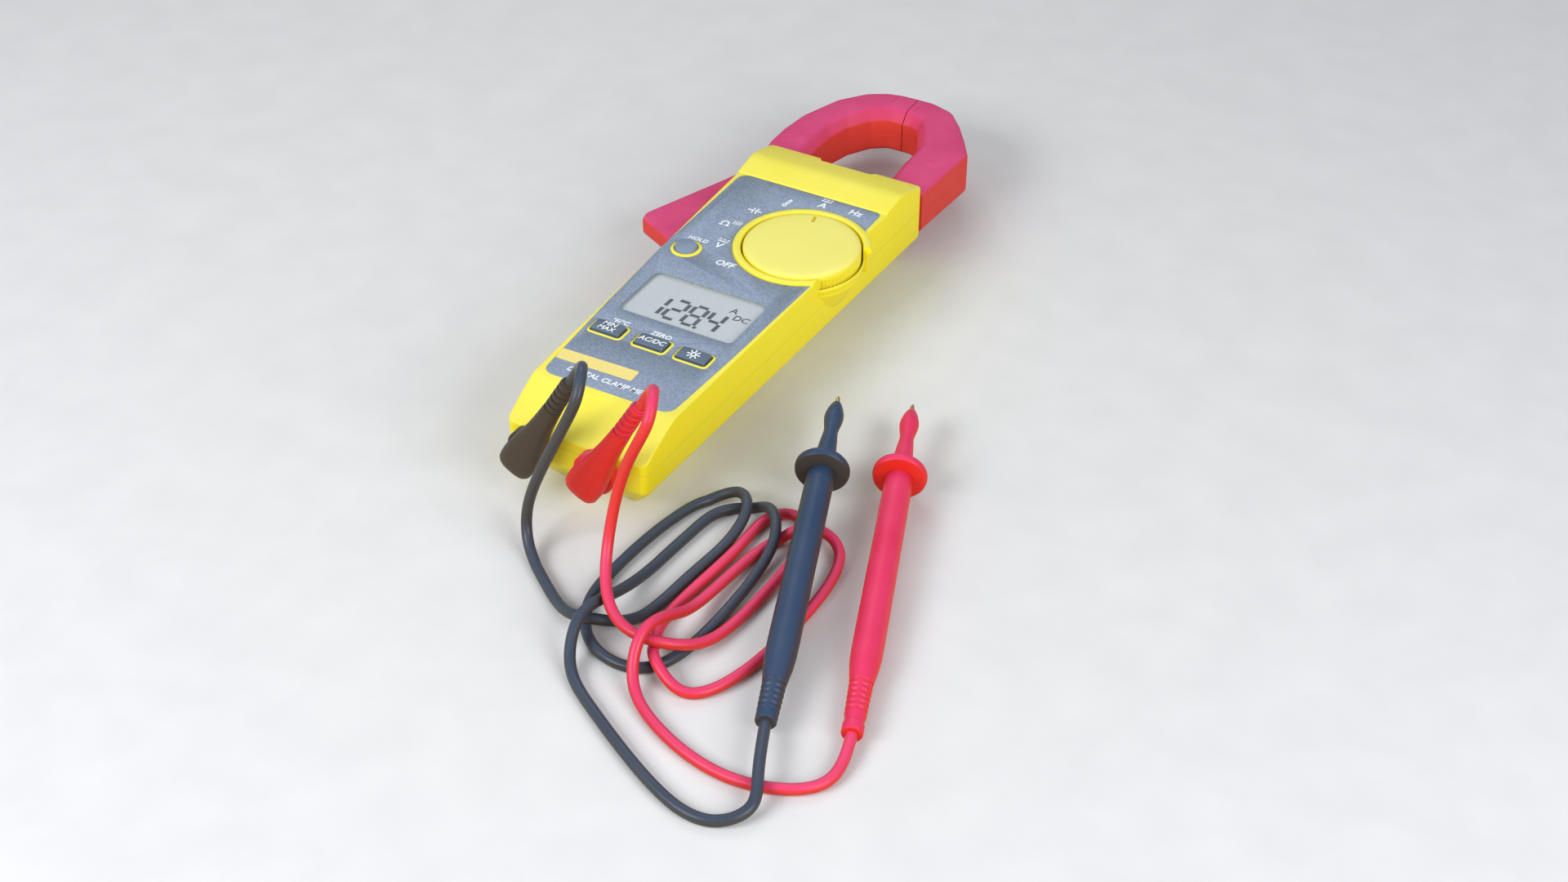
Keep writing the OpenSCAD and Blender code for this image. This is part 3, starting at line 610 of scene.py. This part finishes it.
def make_rims(mats):
    """Yellow rims round the keys and the HOLD button."""
    for name, cx in zip(("left", "middle", "right"), KEY_X):
        rim = prism("key_rim_" + name, [(x + 0.22, y - 0.25) for x, y in key_outline(cx, 0.98)],
                    CASE_TOP - 0.6, CASE_TOP + 0.2)
        combine(rim, [prism("m", key_outline(cx, 0.3), 20, 30)])
        bevel(rim, 0.15, 2, 60)
        dress(rim, mats["yellow"])
    rim = prism("hold_rim", circle((HOLD[0] + 0.3, HOLD[1] - 0.35), 4.65, 64), CASE_TOP - 0.6,
                CASE_TOP + 0.25)
    combine(rim, [prism("m", circle(HOLD, 3.6, 64), 20, 30)])
    bevel(rim, 0.15, 2, 60)
    dress(rim, mats["yellow"])


# ---- display, keys and lettering ----
def text_piece(name, words, place, height, material, body="root", bold=0.022, shear=0.0):
    data = bpy.data.curves.new(name, "FONT")
    data.body = words
    data.size = height / 0.72 * MM
    data.extrude = 0.00003
    data.offset = bold * height * MM
    data.shear = shear
    data.align_x = "CENTER"
    data.align_y = "CENTER"
    data.resolution_u = 3
    letters = bpy.data.objects.new(name, data)
    bpy.context.scene.collection.objects.link(letters)
    bpy.context.view_layer.update()
    mesh = bpy.data.meshes.new_from_object(letters.evaluated_get(bpy.context.evaluated_depsgraph_get()))
    bpy.data.objects.remove(letters)
    mesh.transform(Matrix.Translation(Vector(place) * MM))
    piece = bpy.data.objects.new(name, mesh)
    bpy.context.scene.collection.objects.link(piece)
    dress(piece, material, body)
    return piece


def strokes(name, lines, width, z, material, body="root", thick=0.08):
    """Flat mitred ribbons in one piece; a line of points that ends where it starts is closed."""
    verts, faces = [], []
    for line in lines:
        points = [Vector(line[0])]
        points += [Vector(b) for a, b in zip(line[:-1], line[1:]) if (Vector(b) - Vector(a)).length > 0.02]
        closed = len(points) > 2 and (points[0] - points[-1]).length < 0.02
        if closed:
            points.pop()
        n, base = len(points), len(verts)
        for i, here in enumerate(points):
            before = (here - points[i - 1]).normalized() if i or closed else None
            after = (points[(i + 1) % n] - here).normalized() if i < n - 1 or closed else None
            before, after = before or after, after or before
            along = (before + after).normalized()
            side = Vector((-along.y, along.x)) * width / 2 / max(along.dot(after), 0.5)
            for corner in (here - side, here + side):
                verts += [(corner.x, corner.y, z), (corner.x, corner.y, z + thick)]
        for i in range(n if closed else n - 1):
            a, b = base + 4 * i, base + 4 * ((i + 1) % n)
            faces += [(a, b, b + 2, a + 2), (a + 1, a + 3, b + 3, b + 1), (a, a + 1, b + 1, b),
                      (a + 2, b + 2, b + 3, a + 3)]
        if not closed:
            end = base + 4 * (n - 1)
            faces += [(base, base + 2, base + 3, base + 1), (end, end + 1, end + 3, end + 2)]
    return dress(new_object(name, verts, faces), material, body)


# bars that each digit of the reading lights, clockwise from the top one; g is the middle bar
SEGMENTS = {"1": "bc", "2": "abged", "4": "fgbc", "8": "abcdefg"}


def make_display(mats):
    x, y, w, d = LCD
    panel = box("display_panel", x - w / 2 - 1, x + w / 2 + 1, y - d / 2 - 1, y + d / 2 + 1, 24.2, 26.1)
    dress(panel, mats["lcd"], nodes=["lcd_panel"])
    lens = prism("display_window", rounded([(x - w / 2, y - d / 2), (x + w / 2, y - d / 2),
                                            (x + w / 2, y + d / 2),
                                            (x - w / 2, y + d / 2)], 2.1, 6), 26.3, 26.9)
    bevel(lens, 0.12, 2, 60)
    dress(lens, mats["lens"], nodes=["lcd_lens"])
    tall, wide, lean, bar = 9.4, 4.2, 0.04, 1.12
    ends = {"a": ((0, 2), (1, 2)), "b": ((1, 2), (1, 1)), "c": ((1, 1), (1, 0)), "d": ((0, 0), (1, 0)),
            "e": ((0, 1), (0, 0)), "f": ((0, 2), (0, 1)), "g": ((0, 1), (1, 1))}
    lines = []
    for index, digit in enumerate("1284"):
        ox = -12.5 + index * 6.1
        oy = -49.2
        for segment in SEGMENTS[digit]:
            (u0, v0), (u1, v1) = ends[segment]
            a = Vector((ox + u0 * wide + v0 * tall / 2 * lean, oy + v0 * tall / 2))
            b = Vector((ox + u1 * wide + v1 * tall / 2 * lean, oy + v1 * tall / 2))
            gap = (b - a).normalized() * bar * 0.55
            lines.append([a + gap, b - gap])
    strokes("reading", lines, bar, READING_Z, mats["dark_ink"])
    strokes("reading_point", [[(4.6, -49.9), (4.7, -48.9)]], 1.05, READING_Z, mats["dark_ink"])
    text_piece("reading_unit", "A", (10.6, -37.2, 26.14), 2.5, mats["dark_ink"], bold=0.01, shear=0.05)
    text_piece("reading_kind", "DC", (14.3, -39.9, 26.14), 2.5, mats["dark_ink"], bold=0.01, shear=0.05)


def make_keys(mats):
    names = ("left", "middle", "right")
    for name, cx in zip(names, KEY_X):
        rows = []
        for grow, z in ((0.9, 23.6), (0.9, 24.6), (0, 24.6), (0, 27.6), (-0.12, 27.95), (-0.45, KEY_TOP)):
            rows.append([(px, py, z) for px, py in key_outline(cx, grow)])
        key = loft("key_cap_" + name, rows)
        dress(key, mats["key"], name + "_key", ["key_" + name])
    text_piece("key_left_upper", "MIN", (KEY_X[0] - 0.1, KEY_Y + 1.1, KEY_TOP), 1.75, mats["white_ink"],
               "left_key", shear=0.15)
    text_piece("key_left_lower", "MAX", (KEY_X[0] - 0.1, KEY_Y - 1.1, KEY_TOP), 1.75, mats["white_ink"],
               "left_key", shear=0.15)
    text_piece("key_middle_text", "AC/DC", (KEY_X[1], KEY_Y, KEY_TOP), 1.9, mats["white_ink"],
               "middle_key", shear=0.15)
    cx = KEY_X[2]
    rays = [[(cx + 1.15 * math.cos(a), KEY_Y + 1.15 * math.sin(a)),
             (cx + 2.0 * math.cos(a), KEY_Y + 2.0 * math.sin(a))]
            for a in [math.tau * k / 8 for k in range(8)]]
    sun = arc(cx, KEY_Y, 0.75, 0.75, 0, 360, 16)
    strokes("key_right_sun", rays + [sun], 0.42, KEY_TOP, mats["white_ink"], "right_key")
    disc = [(0.001, 23.6), (4.4, 23.6), (4.4, 24.6), (3.4, 24.6), (3.4, 27.7), (3.25, 28.0), (2.9, 28.15),
            (0.001, 28.2)]
    button = lathe("hold_cap", disc, 64, Matrix.Translation((*HOLD, 0)))
    dress(button, mats["hold"], "hold", ["hold_button"])


def on_dial(angle):
    """Place of a legend round the knob, at an angle from +X."""
    a = math.radians(angle)
    return KNOB[0] + 0.1 + DIAL_R * math.cos(a), KNOB[1] + 0.1 + DIAL_R * math.sin(a)


def make_legends(mats):
    white, z = mats["white_ink"], TEXT_Z
    text_piece("legend_hz", "Hz", (*on_dial(78), z), 2.7, white, shear=0.1)
    text_piece("legend_off", "OFF", (*on_dial(231), z), 2.5, white, shear=0.15)
    for name, letter, angle in (("amps", "A", KNOB_POINTS_AT), ("volts", "V", 205.5)):
        x, y = on_dial(angle)
        text_piece("legend_" + name, letter, (x, y - 0.7, z), 2.7, white, bold=0.03, shear=0.1)
        dashes = [[(x + a, y + 2.75), (x + a + 0.8, y + 2.75)] for a in (-1.4, -0.1, 1.2)]
        strokes("legend_supply_" + name, [[(x - 1.5, y + 1.75), (x + 1.9, y + 1.75)]] + dashes, 0.36, z,
                white)
    x, y = on_dial(180)
    loop = arc(x - 1.9, y + 0.2, 1.1, 1.2, -55, 290, 20)
    ohm = [(loop[0][0] + 1.0, loop[0][1])] + loop + [(loop[-1][0] - 1.0, loop[-1][1])]
    waves = [arc(x - 0.1 + k * 0.75, y + 1.9, 0.45, 1.15, -55, 110, 6) for k in range(4)]
    strokes("legend_ohms", [ohm], 0.5, z, white)
    strokes("legend_beeper", waves, 0.3, z, white)
    x, y = on_dial(154.5)
    curved = arc(x + 1.55, y, -1.1, 1.6, -60, 120, 8)
    strokes("legend_capacitor", [[(x - 2.3, y), (x - 0.75, y)], [(x - 0.5, y - 1.4), (x - 0.5, y + 1.4)],
                                 curved, [(x + 0.72, y), (x + 2.3, y)]], 0.45, z, white)
    x, y = on_dial(129)
    bulb = arc(x - 0.55, y - 1.2, 0.6, 0.6, 0, 360, 16)
    strokes("legend_thermometer", [bulb, [(x - 0.6, y - 0.35), (x - 0.2, y + 1.9), (x + 0.1, y + 2.15),
                                          (x + 0.45, y + 1.9), (x + 0.05, y - 0.45)]], 0.42, z, white)
    text_piece("legend_hold", "HOLD", (HOLD[0] + 0.9, HOLD[1] + 5.5, z), 1.7, white, bold=0.02, shear=0.1)
    text_piece("legend_degrees", "°F/°C", (KEY_X[0] + 1.1, KEY_Y + 4.5, z), 1.8, white, shear=0.15)
    text_piece("legend_zero", "ZERO", (KEY_X[1] + 0.3, KEY_Y + 4.4, z), 1.8, white, shear=0.15)
    text_piece("legend_kind", "DIGITAL CLAMP METER", (-0.7, -83.6, z), 1.95, white, shear=0.15)


# ---- knob ----
def make_knob(mats):
    ribs = 84
    base = 20.9

    def ripple(r, z, a):
        if r < KNOB_R - 0.6 or not base + 0.4 < z < KNOB_TOP - 2.6:
            return 0
        return -0.5 * (0.5 + 0.5 * math.cos(ribs * a))

    profile = [(0.001, base), (KNOB_R - 0.4, base), (KNOB_R, base + 0.4)]
    profile += [(KNOB_R, base + 0.5 + k * 0.7) for k in range(7)]
    profile += [(KNOB_R, KNOB_TOP - 2.3), (KNOB_R, KNOB_TOP - 1.4), (KNOB_R - 0.12, KNOB_TOP - 0.9),
                (KNOB_R - 0.45, KNOB_TOP - 0.5),
                (KNOB_R - 1.0, KNOB_TOP - 0.28), (KNOB_R - 2.0, KNOB_TOP - 0.16),
                (KNOB_R - 5, KNOB_TOP - 0.05), (0.001, KNOB_TOP)]
    knob = lathe("knob_cap", profile, 504, Matrix.Translation((*KNOB, 0)), ripple)
    a = math.radians(KNOB_POINTS_AT)
    out = Vector((math.cos(a), math.sin(a)))
    tip, tail = Vector(KNOB) + out * 16.0, Vector(KNOB) + out * 12.2
    side = Vector((-out.y, out.x)) * 0.55
    notch = prism("m", [tuple(tail - side), tuple(tip - side), tuple(tip + side), tuple(tail + side)],
                  KNOB_TOP - 0.9, 30)
    combine(knob, [notch])
    dress(knob, mats["knob_yellow"], "knob", ["rotary_knob"])


# ---- jaws ----
MOVING_OUTER = [(-0.7, 104.4), (-6.5, 104.3), (-11.5, 103.2), (-17.6, 99.7), (-24.4, 91.2), (-29.5, 77),
                (-30.8, 66), (-30.8, 57.5), (-29.5, 51.1)]
MOVING_INNER = [(-0.7, 91.4), (-5.8, 91.4), (-10.4, 88.2), (-14.9, 80.9), (-17.0, 72.9), (-17.4, 63.8),
                (-16.5, 56.6), (-15.5, 51.1)]
FIXED_OUTER = [(-0.4, 104.4), (4.6, 104.4), (12.5, 101.9), (18.4, 95.1), (23.6, 87.7), (28.6, 79.6),
               (27.5, 65.6), (26.5, 51.1)]
FIXED_INNER = [(-0.4, 91.4), (2.0, 91.4), (5.5, 89.8), (8.6, 83.8), (11.4, 77.2), (11.2, 68.7),
               (11.8, 58.3), (12.6, 51.1)]


def jaw_half(name, outer, inner, side, mats, body, node):
    far = JAW_Z[1] if side > 0 else JAW_Z[0]
    count = 90
    soft = [3 if p[0] > 28 else 8 for p in outer]
    out = resampled(rounded(outer, soft, 6, closed=False), count)
    inn = resampled(rounded(inner, 3, 5, closed=False), count)
    across = (inn - out) / np.linalg.norm(inn - out, axis=1)[:, None]
    # depth below the far face, outer inset, inner inset
    middle = abs(JAW_MID - far) - 0.02
    if side > 0:
        levels = [(middle, 0, 0), (3.9, 0, 0), (3.35, 0, 0.1), (2.9, 0, 0.45), (1.3, 0.05, 2.0),
                  (0.9, 0.2, 2.4), (0.45, 0.55, 2.9), (0.15, 1.0, 3.4), (0, 1.5, 3.9)]
    else:
        levels = [(middle, 0, 0), (1.8, 0, 0), (1.2, 0.1, 0.05), (0.7, 0.35, 0.3), (0.3, 0.8, 0.7),
                  (0.1, 1.2, 1.0), (0, 1.6, 1.4)]
    rows = []
    for depth, outer_in, inner_in in levels:
        z = far - side * depth
        a = [(*p, z) for p in out + across * outer_in]
        b = [(*p, z) for p in (inn - across * inner_in)[::-1]]
        rows.append(a + b)
    half = loft(name, rows, strip=True)
    return dress(half, mats["jaw"], body, [node], angle=28)


def make_jaws(mats):
    for side, word in ((1, "front"), (-1, "back")):
        jaw_half("fixed_shell_" + word, FIXED_OUTER, FIXED_INNER, side, mats, "root", "fixed_jaw_" + word)
        jaw_half("moving_shell_" + word, MOVING_OUTER, MOVING_INNER, side, mats, "moving_jaw",
                 "moving_jaw_" + word)
    for name, body, (x, y), turn in (("tip_moving", "moving_jaw", (-7.6, 99.2), 90),
                                     ("tip_fixed", "root", (1.6, 97.6), 90),
                                     ("side_fixed", "root", (20.2, 69.8), 0),
                                     ("side_moving", "moving_jaw", (-22.6, 64.9), 0)):
        c, d = math.cos(math.radians(turn)), math.sin(math.radians(turn))
        mark = prism("jaw_mark_" + name, [(x + c * u - d * v, y + d * u + c * v) for u,
                                          v in ((-1.9, -0.16), (1.9, -0.16), (1.9, 0.16), (-1.9, 0.16))],
                     JAW_Z[1] - 0.3, JAW_Z[1] + 0.12)
        dress(mark, mats["jaw"], body)
    root = prism("fixed_root", [(24, 51.5), (13.9, 51.5), (10.2, 50.4), (10.2, 46), (0, 46), (0, 34),
                                (20.4, 34), (20.4, 44.3), (24, 44.3)], JAW_Z[0] + 0.1, JAW_Z[1] - 0.1)
    bevel(root, 0.5, 2)
    dress(root, mats["jaw"])
    hub = lathe("moving_root", [(2.55, JAW_Z[0] + 0.1), (7.5, JAW_Z[0] + 0.1), (7.5, JAW_Z[1] - 0.1),
                                (6.1, JAW_Z[1] - 0.1),
                                (6.1, JAW_Z[1] - 3), (2.55, JAW_Z[1] - 3), (2.55, JAW_Z[0] + 0.1)], 64,
                Matrix.Translation((*PIVOT, 0)))
    dress(hub, mats["jaw"], "moving_jaw")
    neck = prism("moving_neck", [(-26.1, 51.6), (-16.4, 51.6), (-8.4, 46), (-9.6, 46.4), (-14, 49.8),
                                 (-20.4, 46), (-20.4, 38.5), (-22, 44.6),
                                 (-25.2, 46.5)], JAW_Z[0] + 0.15, JAW_Z[1] - 0.15)
    dress(neck, mats["jaw"], "moving_jaw")
    shoulder = prism("moving_shoulder", [(-29.3, 51.6), (-26.8, 51.6), (-26.9, 46.5), (-27.8, 44.5),
                                         (-28.9, 46)], JAW_Z[0] + 0.15, JAW_Z[1] - 0.15)
    bevel(shoulder, 0.6, 3, 40, keep=lambda p: p.y < 51)
    dress(shoulder, mats["jaw"], "moving_jaw")
    outline = rounded([(-27.5, 53), (-28.6, 50.5), (-34.2, 34.5), (-45.6, 5.0), (-44.9, 1.9),
                       (-39.1, -0.9), (-25, -7.6), (-20.5, -6.6),
                       (-20.5, 34), (-14, 36), (-14, 42)], [0, 0, 8, 2.6, 2.2, 5, 1, 0, 0, 0, 0], 6)
    z0, z1 = LEVER_Z
    centre = Vector((-27.0, 20.0))

    def level(inset, z):
        row = []
        for p in outline:
            inward = (centre - Vector(p)).normalized() * inset
            row.append((p[0] + inward.x, p[1] + inward.y, z))
        return row

    lever = loft("jaw_lever", [level(1.2, z0), level(0.5, z0 + 0.25), level(0.1, z0 + 0.8),
                               level(0, z0 + 1.4), level(0, z1 - 1.4),
                               level(0.12, z1 - 0.8), level(0.5, z1 - 0.3), level(1.3, z1)])
    dress(lever, mats["jaw"], "moving_jaw")


# ---- leads ----
def spline_points(points, spacing=0.9):
    """Natural cubic spline through the points, sampled evenly and kept on the floor."""
    p = np.array(points, float)
    t = np.r_[0, np.cumsum(np.linalg.norm(np.diff(p, axis=0), axis=1) ** 0.5)]
    n = len(p)
    h = np.diff(t)
    system = np.eye(n)
    right = np.zeros((n, 3))
    for i in range(1, n - 1):
        system[i, i - 1], system[i, i], system[i, i + 1] = h[i - 1], 2 * (h[i - 1] + h[i]), h[i]
        right[i] = 6 * ((p[i + 1] - p[i]) / h[i] - (p[i] - p[i - 1]) / h[i - 1])
    curve = np.linalg.solve(system, right)
    fine = np.linspace(0, t[-1], 4000)
    k = np.clip(np.searchsorted(t, fine, "right") - 1, 0, n - 2)
    a, b, step = (t[k + 1] - fine)[:, None], (fine - t[k])[:, None], h[k][:, None]
    q = (curve[k] * a**3 + curve[k + 1] * b**3) / (6 * step)
    q += (p[k] / step - curve[k] * step / 6) * a + (p[k + 1] / step - curve[k + 1] * step / 6) * b
    q[:, 2] = np.maximum(q[:, 2], LEAD_D / 2 + 0.02)
    length = np.linalg.norm(np.diff(q, axis=0), axis=1).sum()
    return resampled(q, int(length / spacing)), length


def make_lead(color, route, material):
    points, length = spline_points(route)
    data = bpy.data.curves.new("cable_" + color, "CURVE")
    data.dimensions = "3D"
    data.bevel_depth = LEAD_D / 2 * MM
    data.bevel_resolution = 5
    data.use_fill_caps = True
    spline = data.splines.new("POLY")
    spline.points.add(len(points) - 1)
    for point, place in zip(spline.points, points):
        point.co = (*(place * MM), 1)
    spline.use_smooth = True
    cable = bpy.data.objects.new("cable_" + color, data)
    bpy.context.scene.collection.objects.link(cable)
    data.materials.append(material)
    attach(cable, "root")
    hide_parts("lead_" + color)


def probe_matrix(index):
    tip, end = (Vector(p) for p in PROBES[index])
    axis = (end - tip).normalized()
    return Matrix.Translation(tip) @ axis.to_track_quat("Z", "Y").to_matrix().to_4x4(), (end - tip).length


def make_probe(index, color, material, sleeve_material, mats):
    place, length = probe_matrix(index)
    handle = [(0.001, 29.3), (2.4, 29.3), (2.4, 31.7), (3.4, 31.8), (3.75, 32.4), (3.85, 36), (3.9, 50),
              (3.98, 75), (4.05, 92), (4.0, 98), (3.75, 101.5), (3.3, 104.8), (3.0, 107.0)]
    for k in range(6):
        s = 107.4 + k * 1.8
        r = 2.98 - 0.045 * k
        handle += [(r - 0.42, s), (r - 0.45, s + 0.25), (r - 0.07, s + 0.45), (r, s + 0.75), (r, s + 1.15),
                   (r - 0.07, s + 1.4)]
    handle += [(2.35, length - 3.9), (2.35, length - 3.6), (2.62, length - 3.4), (2.7, length - 3.0),
               (2.72, length - 0.5), (2.5, length - 0.1), (1.5, length), (0.001, length)]
    grip = dress(lathe("probe_grip_" + color, handle, 64, place), material,
                 nodes=["probe_handle_" + color])
    guard = dress(lathe("probe_guard_" + color,
                        [(2.45, 29.2), (6.5, 29.0), (7.1, 29.1), (7.45, 29.6), (7.5, 30.3), (7.35, 31.0),
                         (6.9, 31.5), (6.0, 31.7), (4.4, 31.8),
                                                (2.45, 31.85), (2.45, 29.2)], 96, place),
                  material, nodes=["finger_guard_" + color])
    sleeve = [(0.82, 3.2), (1.2, 3.3), (1.5, 3.9), (2.1, 5.6), (2.55, 7.6), (2.68, 9.0), (2.55, 10.6),
              (2.15, 13.0), (1.95, 14.8), (2.1, 16.6), (2.4, 19.5), (2.75, 24), (2.85, 29.1), (2.4, 29.3),
              (0.82, 29.3), (0.82, 3.2)]
    tip_sleeve = dress(lathe("probe_sleeve_" + color, sleeve, 64, place), sleeve_material,
                       nodes=["tip_sleeve_" + color])
    point = dress(lathe("probe_point_" + color,
                        [(0.001, 0), (0.3, 0.25), (0.55, 0.9), (0.75, 2.2), (0.8, 3.4), (0.8, 29),
                         (0.001, 29)], 32, place),
                  mats["brass"], nodes=["probe_tip_" + color])
    return [grip, guard, tip_sleeve, point]


def make_plug(index, color, material):
    base = Matrix.Translation((JACK_X[index], PLUG_Y, JACK_Z))
    arm_frame = base @ Matrix.Rotation(PLUG_LEAN, 4, "Y")
    # half width across the arm and half depth along Y, at each distance up the arm
    stations = [(-5.5, 2.6, 1.4), (-5.35, 3.6, 2.0), (-4.9, 4.5, 2.5), (-3.8, 5.1, 2.85), (-2, 5.3, 3.0),
                (0.5, 5.25, 3.0), (4, 4.85, 3.0), (8, 4.2, 2.95),
                (12, 3.5, 2.8), (16, 3.05, 2.6), (20, 2.75, 2.45), (23.3, 2.55, 2.35), (23.8, 2.4, 2.2)]
    rows = []
    for s, a, b in stations:
        row = []
        for k in range(48):
            t = math.tau * k / 48
            c, d = math.cos(t), math.sin(t)
            e = 0.72
            row.append(arm_frame @ Vector((a * math.copysign(abs(c) ** e, c),
                                           b * math.copysign(abs(d) ** e, d), s)))
        rows.append(row)
    arm = dress(loft("plug_arm_" + color, rows), material, angle=40)
    turn = base @ Matrix.Rotation(math.radians(-90), 4, "X")
    collar = dress(lathe("plug_collar_" + color,
                         [(0.001, -0.5), (4.6, -0.5), (4.9, 1.5), (5.0, 2.2), (5.9, 2.3), (6.2, 2.7),
                          (6.2, 5.7), (5.9, 6.1), (0.001, 6.2)], 96,
                         turn), material, nodes=["plug_body_" + color])
    profile = [(0.001, 23.2), (2.05, 23.2), (2.05, 24.2)]
    for k in range(5):
        s = 24.3 + k * 2.25
        r = 2.5 - k * 0.05
        profile += [(r - 0.12, s), (r, s + 0.25), (r, s + 1.15), (r - 0.12, s + 1.4), (1.95, s + 1.5),
                    (1.95, s + 2.1)]
    profile += [(2.0, 35.0), (1.9, ARM_LEN - 0.1), (1.5, ARM_LEN), (0.001, ARM_LEN)]
    relief = dress(lathe("plug_ribs_" + color, profile, 64, arm_frame), material,
                   nodes=["strain_relief_" + color])
    return [arm, collar, relief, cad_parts["plug_pin_" + color]]


def paint_nodes(mats):
    """Materials for the CAD nodes that stay as they are."""
    looks = {
        "board": ["circuit_board"], "steel": ["battery_door_screw", "case_screws", "jaw_screws",
                                              "pivot_pin", "jaw_spring", "knob_retainer",
                                              "battery_contacts", "plug_pin_black", "plug_pin_red"],
        "brass": ["input_jack_black", "input_jack_red", "contact_wiper"], "cell": ["batteries"],
             "black": ["buzzer", "hall_sensor"],
        "grey_pad": ["keypad_membrane"], "iron": ["fixed_core", "moving_core"], "yellow": ["battery_door"],
    }
    for look, names in looks.items():
        for name in names:
            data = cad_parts[name].data
            data.materials.clear()
            data.materials.append(mats[look])


make_camera()
mats = make_materials()
make_studio()
black_pieces = make_plug(0, "black", mats["brown_black"]) + make_probe(0, "black", mats["black"],
                                                                       mats["black"], mats)
red_pieces = make_plug(1, "red", mats["red"]) + make_probe(1, "red", mats["red"], mats["red"], mats)
make_lead("black", BLACK_ROUTE, mats["black_cable"])
make_lead("red", RED_ROUTE, mats["red_cable"])
make_front_case(mats)
make_knob_ring(mats)
make_rear_case(mats)
make_label(mats)
make_rims(mats)
make_display(mats)
make_keys(mats)
make_legends(mats)
make_knob(mats)
make_jaws(mats)
paint_nodes(mats)
